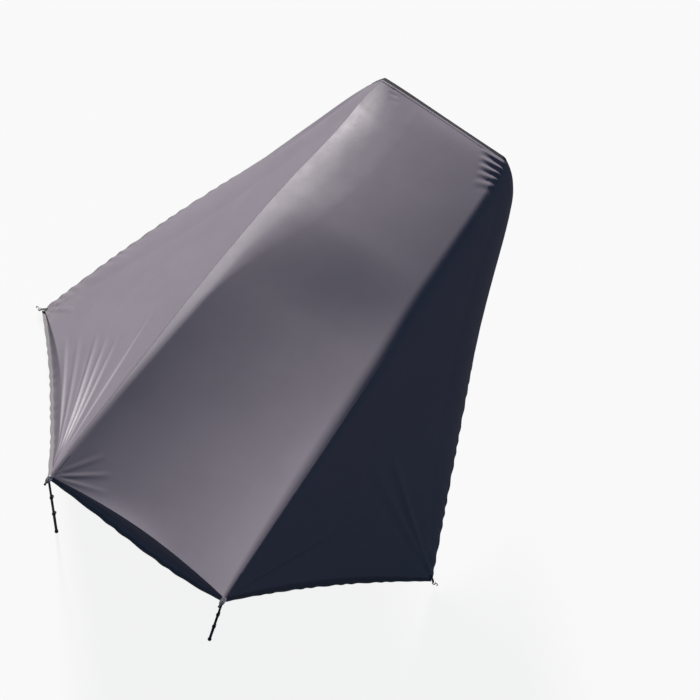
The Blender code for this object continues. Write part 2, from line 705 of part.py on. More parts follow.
def flank_strap(side, word, path, forward, lift, finish):
    """Strap, adjuster and hook below one end of the collar. The hook's origin is on its bar's axis."""
    last, before = (-1, -2) if side > 0 else (0, 1)
    down = unit(path[last] - path[before])
    out = unit(lift[last] - down * np.dot(lift[last], down))
    on_collar = COLLAR_THICK - FABRIC / 2 + 4 * GAP
    middle = path[last] + forward[last] * (GAP + COLLAR_WIDTH / 2) + out * on_collar
    place = place_at(middle, down, out)
    eye = 0.5 * math.hypot(HOOK_BAR, HOOK_PLATE) + EYE_CLEARANCE
    bar = eye_webbing(f"{word}_hook_strap", STRAP_HOLD, STRAP_LENGTH, STRAP_LENGTH - STRAP_TAIL,
                      WEBBING_THICK + GAP, eye, WEBBING_WIDTH, finish, place)

    room = WEBBING_WIDTH / 2 + STRAP_SIDE_PLAY
    rail = room + ADJUSTER_RAIL
    mid = WEBBING_THICK / 2
    deep, tall, free = ADJUSTER_DEPTH / 2, ADJUSTER_HEIGHT / 2, WEBBING_THICK / 2 + GAP
    at = place @ Matrix.Translation((ADJUSTER_AT, 0, mid))
    cut = ADJUSTER_CHAMFER
    sides = [(-tall, -deep + cut), (-tall + cut, -deep), (tall - cut, -deep), (tall, -deep + cut),
             (tall, deep - cut), (tall - cut, deep), (-tall + cut, deep), (-tall, deep - cut)]
    adjuster = extruded(f"{word}_strap_adjuster", sides, 2 * rail, finish["plastic"], at)
    bar_half = ADJUSTER_BAR / 2
    inner = tall - ADJUSTER_BAR
    past, end = deep + CUT_PAST, tall + CUT_PAST
    under_ends = [(-end, -past), (-bar_half, -past), (-bar_half, -free), (bar_half, -free), (bar_half, -past),
                  (end, -past), (end, free), (inner, free), (inner, past), (-inner, past), (-inner, free),
                  (-end, free)]
    window = helper(extruded(f"{word}_adjuster_window", under_ends, 2 * room, None, at))
    combine(adjuster, window, "DIFFERENCE")

    hook_place = place @ Matrix.Translation(bar)
    top = -HOOK_BAR / 2
    slot_end = HOOK_BAR / 2 + HOOK_SLOT
    bend_at = slot_end + HOOK_NECK
    line = [(top, 0.0), (slot_end, 0.0), (bend_at, 0.0)]
    line += arc((bend_at, -HOOK_BEND_RADIUS), HOOK_BEND_RADIUS, 90, -90, 8)[1:]
    line += [(bend_at - HOOK_LIP, -2 * HOOK_BEND_RADIUS)]
    width = 2 * (room + HOOK_RAIL)
    hook = extruded(f"{word}_bumper_hook", band_outline(line, HOOK_PLATE), width, finish["steel"], hook_place)
    low, high = (HOOK_BAR / 2, -room, -HOOK_PLATE), (slot_end, room, HOOK_PLATE)
    slot = box(f"{word}_hook_slot", low, high, hook_place)
    combine(hook, slot, "DIFFERENCE")


# Poles


def tube(name, radius, low, high, material, place, parent):
    inner, edge = radius - TUBE_WALL, TUBE_EDGE
    profile = [(inner, low), (radius - edge, low), (radius, low + edge), (radius, high - edge),
               (radius - edge, high), (inner, high)]
    return turned(name, profile, material, place, parent)


def clamp_outline(inner, outer, ear_end, ear_side, slit):
    """The split ring with its two ears, seen from above."""
    inside = math.degrees(math.asin(slit / inner))
    outside = math.degrees(math.asin(ear_side / outer))
    outline = arc((0, 0), inner, inside, 360 - inside, TURNED_SIDES)
    outline += [(ear_end, -slit), (ear_end, -ear_side)]
    outline += arc((0, 0), outer, -outside, outside - 360, TURNED_SIDES)
    return outline + [(ear_end, ear_side), (ear_end, slit)]


def clamp(word, level, radius, top, finish, place, parent):
    """Split collar at a tube's upper end, its cam lever and the lever's pin, with the lever shut."""
    inner, outer = radius + GAP, radius + GAP + CLAMP_WALL
    slit = CLAMP_SLIT / 2
    pin_at = outer + LEVER_HUB_RADIUS + HUB_GAP
    ear_end, ear_side = pin_at + EAR_BEYOND_PIN, slit + EAR_THICK
    cut = CLAMP_CHAMFER
    layers = [(0, cut), (cut, 0), (CLAMP_HEIGHT - cut, 0), (CLAMP_HEIGHT, cut)]
    bottom = place @ Matrix.Translation((0, 0, top - CLAMP_HEIGHT))
    bm = bmesh.new()
    rings = [[bm.verts.new((x, y, height))
              for x, y in clamp_outline(inner, outer - trim, ear_end - trim, ear_side, slit)]
             for height, trim in layers]
    for low, high in zip(rings, rings[1:]):
        for k in range(len(low)):
            bm.faces.new((low[k - 1], low[k], high[k], high[k - 1]))
    bm.faces.new(rings[0])
    bm.faces.new(rings[-1])
    body = from_bmesh(f"{word}_{level}_clamp", bm, finish["plastic"], bottom, parent)

    pivot = place @ Matrix.Translation((pin_at, 0, top - CLAMP_HEIGHT / 2))
    across = pivot @ Matrix.Rotation(math.radians(-90), 4, "X")
    bore = PIN_RADIUS + GAP
    reach = ear_side + CUT_PAST
    hole_line = [(0, -reach), (bore, -reach), (bore, reach), (0, reach)]
    ears = helper(turned(f"{word}_{level}_ear_hole", hole_line, None, across, sides=12))
    combine(body, ears, "DIFFERENCE")

    near, far = ear_side + GAP, ear_side + GAP + PIN_HEAD_THICK
    pin_line = [(0, -far), (PIN_HEAD_RADIUS, -far), (PIN_HEAD_RADIUS, -near), (PIN_RADIUS, -near),
                (PIN_RADIUS, near), (PIN_HEAD_RADIUS, near), (PIN_HEAD_RADIUS, far), (0, far)]
    turned(f"{word}_{level}_lever_pin", pin_line, finish["steel"], across, parent, sides=12)

    hub = arc((0, 0), LEVER_HUB_RADIUS, 25, 180, 8)
    near_side, far_side = -0.6 * LEVER_HUB_RADIUS, 0.9 * LEVER_HUB_RADIUS
    neck_end = -LEVER_NECK - LEVER_NECK_LAP
    neck = [(near_side, -LEVER_NECK), (near_side, neck_end), (far_side, neck_end), (far_side, -LEVER_NECK)]
    lever = extruded(f"{word}_{level}_lever", hub + neck, CLAMP_SLIT - 2 * LEVER_SIDE_PLAY, finish["plastic"],
                     pivot, parent)
    bow = [(LEVER_INSET + LEVER_FLICK * s**2, -LEVER_NECK - (LEVER_LENGTH - LEVER_NECK) * s)
           for s in np.linspace(0, 1, 6)]
    paddle = extruded(f"{word}_{level}_paddle", band_outline(bow, LEVER_THICK), LEVER_WIDTH, None, pivot)
    combine(lever, helper(paddle), "UNION")
    combine(lever, ears, "DIFFERENCE")


def pole(side, word, eye, finish):
    """Three telescoping tubes with spike, clamps, levers and foot, hanging from a pivot in the grommet."""
    rim_above_ball = math.sqrt(BALL_RADIUS**2 - GROMMET_BORE**2)
    lower_face = PATCH_THICK / 2 + GAP + GROMMET_FLANGE_THICK
    pivot_point = eye - Vector((0, 0, lower_face + rim_above_ball + 1.5 * GAP))
    pivot = bpy.data.objects.new(f"{word}_pole_pivot", None)
    bpy.context.scene.collection.objects.link(pivot)
    pivot.matrix_local = Matrix.Translation(pivot_point)
    parent_place[pivot.name] = Matrix.Translation(pivot_point)
    place = place_at(pivot_point, -BACK, UP)

    tube_top = -BALL_SEAT
    tube_foot = GROUND - pivot_point.z + FOOT_SOLE + GAP
    length = (tube_top - tube_foot + 2 * TUBE_OVERLAP) / 3
    plug = UPPER_TUBE_RADIUS - TUBE_WALL - GAP
    ledge = tube_top + GAP
    start = math.degrees(math.asin(ledge / BALL_RADIUS))
    end = math.degrees(math.acos(SPIKE_RADIUS / BALL_RADIUS))
    line = [(0, tube_top - PLUG_LENGTH), (plug, tube_top - PLUG_LENGTH), (plug, ledge)]
    line += arc((0, 0), BALL_RADIUS, start, end, 6)
    line += [(SPIKE_RADIUS, SPIKE_HEIGHT - SPIKE_POINT),
             (0.6 * SPIKE_RADIUS, SPIKE_HEIGHT - 0.15 * SPIKE_POINT), (0, SPIKE_HEIGHT)]
    turned(f"{word}_pole_spike", line, finish["steel"], place, pivot)

    levels = []
    high = tube_top
    radii = {"upper": UPPER_TUBE_RADIUS, "middle": MIDDLE_TUBE_RADIUS, "lower": LOWER_TUBE_RADIUS}
    for level, radius in radii.items():
        levels.append(tube(f"{word}_{level}_tube", radius, high - length, high, finish["tube"], place, pivot))
        if level != "upper":
            clamp(word, level, radius, high, finish, place, levels[-1])
        high = high - length + TUBE_OVERLAP

    hold = LOWER_TUBE_RADIUS + GAP
    sole = GROUND - pivot_point.z
    edge = FOOT_CHAMFER
    line = [(0, sole), (FOOT_RADIUS - edge, sole), (FOOT_RADIUS, sole + edge)]
    cuff = sole + FOOT_SOLE + 2 * edge
    line += [(FOOT_RADIUS, sole + FOOT_SOLE), (FOOT_TOP_RADIUS, cuff)]
    waist, pitch = FOOT_TOP_RADIUS - FOOT_GROOVE_DEPTH, FOOT_GROOVE_PITCH
    for start in cuff + pitch * (0.5 + np.arange(FOOT_GROOVES)):
        line += [(FOOT_TOP_RADIUS, start), (waist, start + pitch / 4), (waist, start + pitch / 2),
                 (FOOT_TOP_RADIUS, start + 3 * pitch / 4)]
    line += [(FOOT_TOP_RADIUS, sole + FOOT_HEIGHT), (hold, sole + FOOT_HEIGHT)]
    line += [(hold, sole + FOOT_SOLE), (0, sole + FOOT_SOLE)]
    turned(f"{word}_pole_foot", line, finish["rubber"], place, levels[-1])


parent_place = {}


def main():
    clear_scene()
    finish = materials()
    points, normals = fabric(finish)
    path, forward, lift = collar(points, normals, finish)
    for side, word in ((1, "left"), (-1, "right")):
        eye = pole_corner(side, word, points, normals, finish)
        pole(side, word, eye, finish)
        wing_patch_and_peg(side, word, points, normals, finish)
        flank_strap(side, word, path, forward, lift, finish)


main()
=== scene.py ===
"""Rear awning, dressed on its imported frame: coated cloth with its folds, hems, webbing and hardware.

Metres, +Z up, in the frame's own axes: the origin lies under the middle of the front collar. +Y points to the
rear edge and +X to the awning's left side."""

import logging
import math
from collections.abc import Callable
from dataclasses import dataclass
from enum import Enum
from typing import Any

import bpy
import numpy as np
from mathutils import Matrix, Vector


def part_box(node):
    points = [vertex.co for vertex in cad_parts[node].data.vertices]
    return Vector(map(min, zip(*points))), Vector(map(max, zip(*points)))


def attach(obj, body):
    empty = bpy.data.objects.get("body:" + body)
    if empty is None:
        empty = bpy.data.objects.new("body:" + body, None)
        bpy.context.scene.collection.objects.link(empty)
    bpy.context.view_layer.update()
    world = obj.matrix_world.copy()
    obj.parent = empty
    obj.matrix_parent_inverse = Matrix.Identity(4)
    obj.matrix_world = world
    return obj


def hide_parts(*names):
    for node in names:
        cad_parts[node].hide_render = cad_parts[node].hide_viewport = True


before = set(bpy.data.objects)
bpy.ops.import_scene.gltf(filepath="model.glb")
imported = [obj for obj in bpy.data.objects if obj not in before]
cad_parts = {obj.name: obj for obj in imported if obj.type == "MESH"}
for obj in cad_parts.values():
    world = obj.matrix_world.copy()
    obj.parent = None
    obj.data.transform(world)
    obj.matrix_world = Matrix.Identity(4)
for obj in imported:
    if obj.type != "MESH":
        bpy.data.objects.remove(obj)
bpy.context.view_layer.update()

log = logging.getLogger("awning")

UP = np.array([0.0, 0.0, 1.0])
BACK = np.array([0.0, 1.0, 0.0])
ACROSS = np.array([-1.0, 1.0, 1.0])
Array = np.ndarray
Node = bpy.types.Node
Tree = bpy.types.NodeTree
Socket = bpy.types.NodeSocket
Value = float | tuple[float, ...] | Socket
Piece = bpy.types.Object


class Side(Enum):
    """The awning's two sides, by the sign of X."""

    LEFT = 1
    RIGHT = -1

    @property
    def word(self) -> str:
        """The side's word at the start of its pieces' names."""
        return self.name.lower()

    @property
    def turn(self) -> Array:
        """What brings a vector from the left to this side."""
        return np.array([self.value, 1.0, 1.0])


class Panel(Enum):
    """The three cloths that a fold can run in."""

    ROOF = "roof"
    LEFT_WING = "left_wing"
    RIGHT_WING = "right_wing"


# Arrays of points


def unit(vectors: Array) -> Array:
    """Each vector of the last axis divided by its own length."""
    vectors = np.asarray(vectors, float)
    return vectors / np.maximum(np.linalg.norm(vectors, axis=-1, keepdims=True), 1e-12)


def smoothstep(x: Array) -> Array:
    """A rise from 0 to 1 between x = 0 and 1: three x squared less two x cubed."""
    x = np.clip(x, 0.0, 1.0)
    return x * x * (3.0 - 2.0 * x)


def spaced(cells: int, weight: Callable[[Array], Array]) -> Array:
    """Shares from 0 to 1 whose cells are short where weight is large: its running sum, turned round.

    Args:
        cells: How many cells.
        weight: Gives the weight at each share.

    Returns:
        The shares, one more than there are cells.
    """
    fine = np.linspace(0.0, 1.0, 4001)
    run = np.concatenate([[0.0], np.cumsum(weight((fine[1:] + fine[:-1]) / 2))])
    return np.interp(np.linspace(0.0, 1.0, cells + 1), run / run[-1], fine)


def run_lengths(points: Array, axis: int = 0) -> Array:
    """The distance walked from the first point on, down the rows (0) or along the columns (1)."""
    steps = np.linalg.norm(np.diff(points, axis=axis), axis=-1)
    return np.insert(np.cumsum(steps, axis=axis), 0, 0.0, axis=axis)


def at_lengths(values: Array, walked: Array, at: Array) -> Array:
    """The values along a line at some distances, by straight lines between its points."""
    return np.stack([np.interp(at, walked, values[:, k]) for k in range(values.shape[1])], -1)


def grid_normals(points: Array) -> Array:
    """Unit normals of a grid: the cross product of its slopes along the columns and down the rows."""
    down, along = np.gradient(points, axis=0), np.gradient(points, axis=1)
    return unit(np.cross(along, down))


def mirrored(points: Array) -> Array:
    """A grid on the other side, with its columns turned round so that its normals still point outwards."""
    return points[:, ::-1] * ACROSS


def square_to(vectors: Array, way: Array) -> Array:
    """The unit vectors of what is square to a unit direction."""
    return unit(vectors - way * (vectors * way).sum(-1, keepdims=True))


def curve(share: Array, *points: Array) -> Array:
    """A Bezier curve at a share of its way from the first point to the last."""
    last = len(points) - 1
    return sum(math.comb(last, k) * (1 - share) ** (last - k) * share**k * spot
               for k, spot in enumerate(points))


def uneven(walked: Array, wave: float, drift: float, slow: float, start: float = 0.0) -> Array:
    """A sine wave whose phase wanders by drift over a slower wave."""
    turns = 2 * math.pi * walked
    return np.sin(turns / wave + drift * np.sin(turns / slow + start))


# Meshes from arrays


def outward(points: Array, blocks: list[Array]) -> list[Array]:
    """Turns the faces of a closed body round if the volume that they enclose comes out negative.

    Args:
        points: The body's points, N by 3.
        blocks: Arrays of its faces.

    Returns:
        The faces, which point outwards.
    """
    corners = [points[block] - points.mean(axis=0) for block in blocks]
    volume = sum((spots[:, 0] * np.cross(spots[:, k], spots[:, k + 1])).sum()
                 for spots in corners for k in range(1, spots.shape[1] - 1))
    return blocks if volume > 0 else [block[:, ::-1] for block in blocks]


def placed(name: str, data: Any) -> Piece:
    """Puts a new object into the scene.

    Args:
        name: Its name.
        data: The mesh, lamp or camera that it holds.

    Returns:
        The object.
    """
    piece = bpy.data.objects.new(name, data)
    bpy.context.scene.collection.objects.link(piece)
    return piece


def make_mesh(name: str, points: Array, blocks: list[Array], chart: Array | None = None, sharp: float = 40.0,
              closed: bool = True) -> Piece:
    """Puts points and faces into a new smooth object at the origin.

    Args:
        name: The piece's name.
        points: All points; their last axis holds X, Y and Z.
        blocks: Arrays of faces, each with its own number of corners.
        chart: Each point's place in metres on the flat cloth, for the map named cloth.
        sharp: Edges that turn by more degrees stay sharp.
        closed: Whether the faces close a body, and so point outwards.

    Returns:
        The new object, linked to the scene.
    """
    points = points.reshape(-1, 3)
    blocks = outward(points, blocks) if closed else blocks
    mesh = bpy.data.meshes.new(name)
    mesh.from_pydata(points.tolist(), [], sum((block.tolist() for block in blocks), []))
    if chart is not None:
        layer = mesh.uv_layers.new(name="cloth")
        corner = np.empty(len(mesh.loops), np.int32)
        mesh.loops.foreach_get("vertex_index", corner)
        layer.data.foreach_set("uv", chart.reshape(-1, 2)[corner].astype(np.float32).ravel())
    mesh.shade_smooth()
    mesh.set_sharp_from_angle(angle=math.radians(sharp))
    return placed(name, mesh)


def quads(rows: int, columns: int, wrap: bool = False) -> Array:
    """The cells of a grid of points.

    Args:
        rows: Rows of points.
        columns: Columns of points.
        wrap: Whether the last column joins the first.

    Returns:
        Four corner indices for each cell.
    """
    index = np.arange(rows * columns).reshape(rows, columns)
    if wrap:
        index = np.concatenate([index, index[:, :1]], axis=1)
    return np.stack([index[:-1, :-1], index[:-1, 1:], index[1:, 1:], index[1:, :-1]], -1).reshape(-1, 4)


def cloth_sheet(name: str, points: Array, normals: Array, thick: float, lift: float = 0.0,
                wrap: bool = False) -> Piece:
    """A closed sheet of even thickness on a grid: outer face, inner face and a rim of quads round both.

    Args:
        name: The piece's name.
        points: The middle of the cloth, rows by columns by 3.
        normals: The cloth's normals there.
        thick: The cloth's thickness.
        lift: How far the sheet stands off the grid.
        wrap: Whether the last column joins the first, in a ring with two rims.

    Returns:
        The sheet, with its flat chart.
    """
    rows, columns = points.shape[:2]
    outer = points + normals * (lift + thick / 2)
    inner = points + normals * (lift - thick / 2)
    count = rows * columns
    cells = quads(rows, columns, wrap)
    index = np.arange(count).reshape(rows, columns)
    if wrap:
        rims = [index[0], index[-1, ::-1]]
    else:
        rims = [np.concatenate([index[0, :-1], index[:-1, -1], index[-1, :0:-1], index[:0:-1, 0]])]
    edges = [np.stack([np.roll(rim, -1), rim, rim + count, np.roll(rim, -1) + count], -1) for rim in rims]
    chart = np.stack([run_lengths(points, 1), run_lengths(points, 0)], -1).reshape(-1, 2)
    return make_mesh(name, np.concatenate([outer.reshape(-1, 3), inner.reshape(-1, 3)]),
                     [cells, cells[:, ::-1] + count, *edges], np.concatenate([chart, chart]), 60.0)


def end_faces(steps: int, sides: int) -> Array:
    """The flat faces over the first and the last ring of a swept body."""
    return np.stack([np.arange(sides)[::-1], np.arange(sides) + (steps - 1) * sides])


def swept(name: str, rings: Array, sharp: float = 50.0) -> Piece:
    """A profile carried along a path, with a flat face over each end and a chart round and along it.

    Args:
        name: The piece's name.
        rings: The profile at each step, steps by points by 3.
        sharp: Edges that turn by more degrees stay sharp.

    Returns:
        The closed piece.
    """
    steps, sides = rings.shape[:2]
    chart = np.stack([run_lengths(rings, 1), run_lengths(rings, 0)], -1)
    return make_mesh(name, rings, [quads(steps, sides, wrap=True), end_faces(steps, sides)], chart, sharp)


def band_section(wide: float, thick: float, corners: int = 3) -> Array:
    """A flat band's section with round edges: two half circles joined by straight runs.

    Args:
        wide: The band's width.
        thick: Its thickness.
        corners: Cells in a quarter of a circle.

    Returns:
        The section's points, N by 2.
    """
    turn = np.linspace(-math.pi / 2, math.pi / 2, 2 * corners + 1)
    right = np.stack([wide / 2 - thick / 2 + thick / 2 * np.cos(turn), thick / 2 * np.sin(turn)], -1)
    across = np.linspace(0.0, 1.0, 7)[1:-1, None]
    top = right[-1] - 2 * np.array([right[-1, 0], 0.0]) * across
    return np.concatenate([right, top, -right, -top])


def round_section(radius: float, sides: int = 12) -> Array:
    """A circle of points."""
    turn = np.linspace(0.0, 2 * math.pi, sides + 1)[:-1]
    return radius * np.stack([np.cos(turn), np.sin(turn)], -1)


def ribbon(name: str, path: Array, across: Array, section: Array) -> Piece:
    """A section carried along a path, its first axis along across and its second square to both.

    Args:
        name: The piece's name.
        path: The middle line, N by 3.
        across: The direction of the width at each point.
        section: The section's points, M by 2.

    Returns:
        The closed band or cord.
    """
    ahead = unit(np.gradient(path, axis=0))
    across = square_to(across, ahead)
    lift = np.cross(ahead, across)
    rings = path[:, None] + section[None, :, :1] * across[:, None] + section[None, :, 1:] * lift[:, None]
    return swept(name, rings)


def stitches(name: str, path: Array, normals: Array, pitch: float = 0.006, thread: float = 0.0009) -> Piece:
    """A row of lockstitches: a low spindle of five sides for each pitch, half sunk in the cloth.

    Args:
        name: The piece's name.
        path: The row's line on the cloth's surface, N by 3.
        normals: The cloth's normals along it.
        pitch: A stitch with the gap after it.
        thread: The thread's diameter.

    Returns:
        All stitches of the row as one piece.
    """
    walked = run_lengths(path)
    count = max(2, int(walked[-1] / pitch))
    middle = (np.arange(count) + 0.5) * walked[-1] / count
    start, end = (at_lengths(path, walked, middle + reach) for reach in (-0.36 * pitch, 0.36 * pitch))
    lift = unit(at_lengths(normals, walked, middle))
    side = np.cross(lift, unit(end - start))
    shares, swell = np.array([0.0, 0.2, 0.8, 1.0]), np.array([0.3, 1.0, 1.0, 0.3])
    spine = start[:, None] + (end - start)[:, None] * shares[None, :, None]
    turn = round_section(thread / 2, 5)
    ring = turn[None, :, :1] * side[:, None] + turn[None, :, 1:] * lift[:, None]
    points = spine[:, :, None] + ring[:, None] * swell[None, :, None, None]
    sides = len(turn)
    offset = (np.arange(count) * len(shares) * sides)[:, None, None]
    cells = (quads(len(shares), sides, wrap=True)[None] + offset).reshape(-1, 4)
    ends = end_faces(len(shares), sides)
    chart = np.stack([run_lengths(points.reshape(count, -1, 3), 1).reshape(points.shape[:-1]),
                      np.broadcast_to(middle[:, None, None], points.shape[:-1])], -1)
    return make_mesh(name, points, [cells, (ends[None] + offset).reshape(-1, sides)], chart, 80.0)


# Node trees


class Graph:
    """Writes shader nodes into a tree and joins them."""

    def __init__(self, tree: Tree) -> None:
        """Starts on a tree, and clears nothing."""
        self.tree = tree

    def fill(self, node: Node, inputs: dict[Any, Value]) -> None:
        """Joins outputs of other nodes to a node's inputs, or writes values into them.

        Args:
            node: The node.
            inputs: The outputs or values, by the name or number of the input.
        """
        for key, value in inputs.items():
            if isinstance(value, Socket):
                self.tree.links.new(value, node.inputs[key])
            else:
                node.inputs[key].default_value = value

    def add(self, kind: str, inputs: dict[Any, Value] | None = None, **settings: Any) -> Node:
        """Adds one node.

        Args:
            kind: The node's type in Blender, after ShaderNode.
            inputs: Values or other nodes' outputs, by the name or number of the input.
            settings: The node's own properties.

        Returns:
            The new node.
        """
        node = self.tree.nodes.new(f"ShaderNode{kind}")
        for key, value in settings.items():
            setattr(node, key, value)
        self.fill(node, inputs or {})
        return node

    def maths(self, operation: str, *values: Value) -> Socket:
        """One sum of two or three values."""
        return self.add("Math", dict(enumerate(values)), operation=operation).outputs[0]

    def times(self, first: Value, second: Value) -> Socket:
        """The product of two values."""
        return self.maths("MULTIPLY", first, second)

    def part(self, vector: Socket, axis: int) -> Socket:
        """One of the three parts of a vector."""
        return self.add("SeparateXYZ", {0: vector}).outputs[axis]

    def ramp(self, value: Value, low: float, high: float, first: float = 0.0, last: float = 1.0) -> Socket:
        """A smooth step of a value between low and high, put out between two other values."""
        return self.add("MapRange", {"Value": value, "From Min": low, "From Max": high, "To Min": first,
                                     "To Max": last}, interpolation_type="SMOOTHSTEP").outputs[0]

    def noise(self, place: Value, scale: Value, detail: float = 3.0, roughness: float = 0.5) -> Socket:
        """Soft noise from 0 to 1 at a place, with scale cells in a metre."""
        return self.add("TexNoise", {"Vector": place, "Scale": scale, "Detail": detail,
                                     "Roughness": roughness}).outputs["Fac"]

    def mix(self, share: Value, first: Value, second: Value) -> Socket:
        """One colour turning into another by a share."""
        return self.add("Mix", {0: share, 6: first, 7: second}, data_type="RGBA").outputs[2]

    def bump(self, height: Value, distance: float, strength: float, **below: Value) -> Socket:
        """A normal that follows a height, over the normal below if one is given."""
        inputs = {"Height": height, "Distance": distance, "Strength": strength, **below}
        return self.add("Bump", inputs).outputs[0]

    def group(self, tree: Tree, **inputs: Value) -> Any:
        """Places a group, fills its inputs and gives its outputs."""
        return self.add("Group", inputs, node_tree=tree).outputs


def new_group(name: str, write: Callable, **inputs: Any) -> Tree:
    """A new shader node group.

    Args:
        name: The group's name.
        write: What writes its nodes: it takes the graph and the inputs and gives the outputs by name.
        inputs: The default value of each input, or None for a place.

    Returns:
        The group's tree.
    """
    tree = bpy.data.node_groups.new(name, "ShaderNodeTree")
    for key, value in inputs.items():
        kind = "NodeSocketVector" if value is None else "NodeSocketFloat"
        socket = tree.interface.new_socket(name=key, in_out="INPUT", socket_type=kind)
        if value is not None:
            socket.default_value = value
    graph = Graph(tree)
    outputs = write(graph, tree.nodes.new("NodeGroupInput").outputs)
    for key in outputs:
        tree.interface.new_socket(name=key, in_out="OUTPUT", socket_type="NodeSocketFloat")
    graph.fill(tree.nodes.new("NodeGroupOutput"), outputs)
    return tree


class Effects:
    """The shader groups that the finishes share, each built once."""

    def __init__(self) -> None:
        """Builds all groups."""
        self.weave = new_group("plain_weave", self.plain_weave, Chart=None, Pitch=0.001)
        self.grain = new_group("fine_grain", self.fine_grain, Place=None, Coarse=400.0)
        self.wear = new_group("rubbed_marks", self.rubbed_marks, Place=None, Amount=0.5)
        self.dust = new_group("settled_dust", self.settled_dust, Place=None, Level=-1.5, Reach=0.3)

    @staticmethod
    def plain_weave(graph: Graph, source: Any) -> dict[str, Value]:
        """Threads over and under: the product of two sine waves square to each other, plus their ribs.

        Args:
            graph: The group's graph.
            source: The group's inputs.

        Returns:
            The height of the threads, and from it a shade that the finishes paint into colour: painted shade
            in the hollows between threads and painted highlight on their crowns.
        """
        turns = graph.maths("DIVIDE", math.pi, source["Pitch"])
        waves = [graph.maths("SINE", graph.times(graph.part(source["Chart"], k), turns)) for k in (0, 1)]
        ribs = graph.maths("ADD", *[graph.maths("ABSOLUTE", wave) for wave in waves])
        height = graph.maths("MULTIPLY_ADD", ribs, 0.3, graph.times(graph.times(*waves), 0.35))
        # Shade is the thread height put between 0 and 1; the finishes paint it into colour as painted shade
        # in the hollows and painted highlight on the crowns.
        return {"Height": height, "Shade": graph.ramp(height, -0.2, 0.8)}

    @staticmethod
    def fine_grain(graph: Graph, source: Any) -> dict[str, Value]:
        """Grain of a moulded or painted surface: two sizes of noise, the finer one weaker.

        Args:
            graph: The group's graph.
            source: The group's inputs.

        Returns:
            The grain's height and a broad mottle.
        """
        place, coarse = source["Place"], source["Coarse"]
        fine = graph.times(graph.noise(place, graph.times(coarse, 3.1)), 0.3)
        mottle = graph.noise(place, graph.times(coarse, 0.06), 4.0)
        return {"Height": graph.maths("MULTIPLY_ADD", graph.noise(place, coarse), 0.7, fine),
                "Mottle": graph.ramp(mottle, 0.3, 0.7)}

    @staticmethod
    def rubbed_marks(graph: Graph, source: Any) -> dict[str, Value]:
        """Rubbed and scratched spots: long thin noise cut off high, in patches of broader noise.

        Args:
            graph: The group's graph.
            source: The group's inputs.

        Returns:
            Where the spots are.
        """
        stretched = graph.add("Mapping", {"Vector": source["Place"], "Scale": (1.0, 1.0, 0.12)}).outputs[0]
        lines = graph.noise(stretched, 260.0, 5.0, 0.65)
        level = graph.maths("MULTIPLY_ADD", graph.noise(source["Place"], 22.0), 0.5, lines)
        edge = graph.maths("MULTIPLY_ADD", source["Amount"], -0.22, 1.06)
        return {"Mask": graph.ramp(graph.maths("SUBTRACT", level, edge), 0.0, 0.10)}

    @staticmethod
    def settled_dust(graph: Graph, source: Any) -> dict[str, Value]:
        """Dust: thick below a level and thinning above it, broken up by noise.

        Args:
            graph: The group's graph.
            source: The group's inputs.

        Returns:
            Where the dust is.
        """
        height = graph.maths("SUBTRACT", graph.part(source["Place"], 2), source["Level"])
        above = graph.maths("DIVIDE", height, source["Reach"])
        patchy = graph.ramp(graph.noise(source["Place"], 14.0, 6.0, 0.6), 0.35, 0.75)
        return {"Mask": graph.times(graph.ramp(above, 1.0, 0.0), patchy)}


EFFECTS = Effects()


@dataclass(frozen=True)
class Finish:
    """What all finishes have: a name, a colour, a second colour that it turns to, and its roughness."""

    name: str
    colour: tuple[float, float, float]
    second: tuple[float, float, float]
    roughness: float

    def start(self) -> tuple[bpy.types.Material, Graph, Node, Socket]:
        """A new material with its graph, its shader and the piece's own place."""
        material, graph, shader = new_material(self.name)
        return material, graph, shader, graph.add("TexCoord").outputs["Object"]


def new_material(name: str) -> tuple[bpy.types.Material, Graph, Node]:
    """Starts a new material.

    Args:
        name: Its name.

    Returns:
        The material, its graph and its shader.
    """
    material = bpy.data.materials.new(name)
    material.use_nodes = True
    return material, Graph(material.node_tree), material.node_tree.nodes["Principled BSDF"]


def rgba(colour: tuple[float, float, float], share: float = 1.0) -> tuple[float, float, float, float]:
    """A share of a colour with full cover."""
    return (*(share * part for part in colour), 1.0)


@dataclass(frozen=True)
class CoatedCloth(Finish):
    """Satin coated polyester, matter where it lies level: a fine weave whose colour carries painted shade in
    the hollows between threads and painted highlight on their crowns, faint crumples, a tint that drifts to
    the second colour and dust near the ground."""

    dusty: tuple[float, float, float]
    level: float
    gloss: float
    pitch: float
    crumple: float

    def material(self) -> bpy.types.Material:
        """Puts the finish together on the piece's cloth chart and its own place.

        Returns:
            The material.
        """
        material, graph, shader, place = self.start()
        chart = graph.add("UVMap", uv_map="cloth").outputs[0]
        weave = graph.group(EFFECTS.weave, Chart=chart, Pitch=self.pitch)
        broad = graph.ramp(graph.noise(place, 1.7, 4.0, 0.55), 0.3, 0.7)
        tint = graph.mix(broad, rgba(self.colour), rgba(self.second))
        # Painted shade and highlight of the weave: the colour is scaled from 0.93 in the threads' hollows to
        # 1.03 on their crowns.
        shade = graph.maths("MULTIPLY_ADD", weave["Shade"], 0.10, 0.93)
        tint = graph.add("VectorMath", {0: tint, 1: shade}, operation="MULTIPLY").outputs[0]
        dust = graph.group(EFFECTS.dust, Place=place, Level=-1.70, Reach=0.35)["Mask"]
        upward = graph.part(graph.add("NewGeometry").outputs["Normal"], 2)
        settled = graph.ramp(upward, 0.96, 0.995, self.roughness, self.level)
        patchy = graph.ramp(graph.noise(place, 9.0, 5.0, 0.6), 0.25, 0.75, -0.04, 0.04)
        soft = graph.bump(graph.noise(place, 16.0, 4.0, 0.45), self.crumple, 0.6)
        graph.fill(shader, {
            "Base Color": graph.mix(graph.times(dust, 0.35), tint, rgba(self.dusty)),
            "Roughness": graph.maths("ADD", settled, patchy),
            "Specular IOR Level": self.gloss,
            "Normal": graph.bump(weave["Height"], self.pitch * 0.22, 0.5, Normal=soft)})
        return material


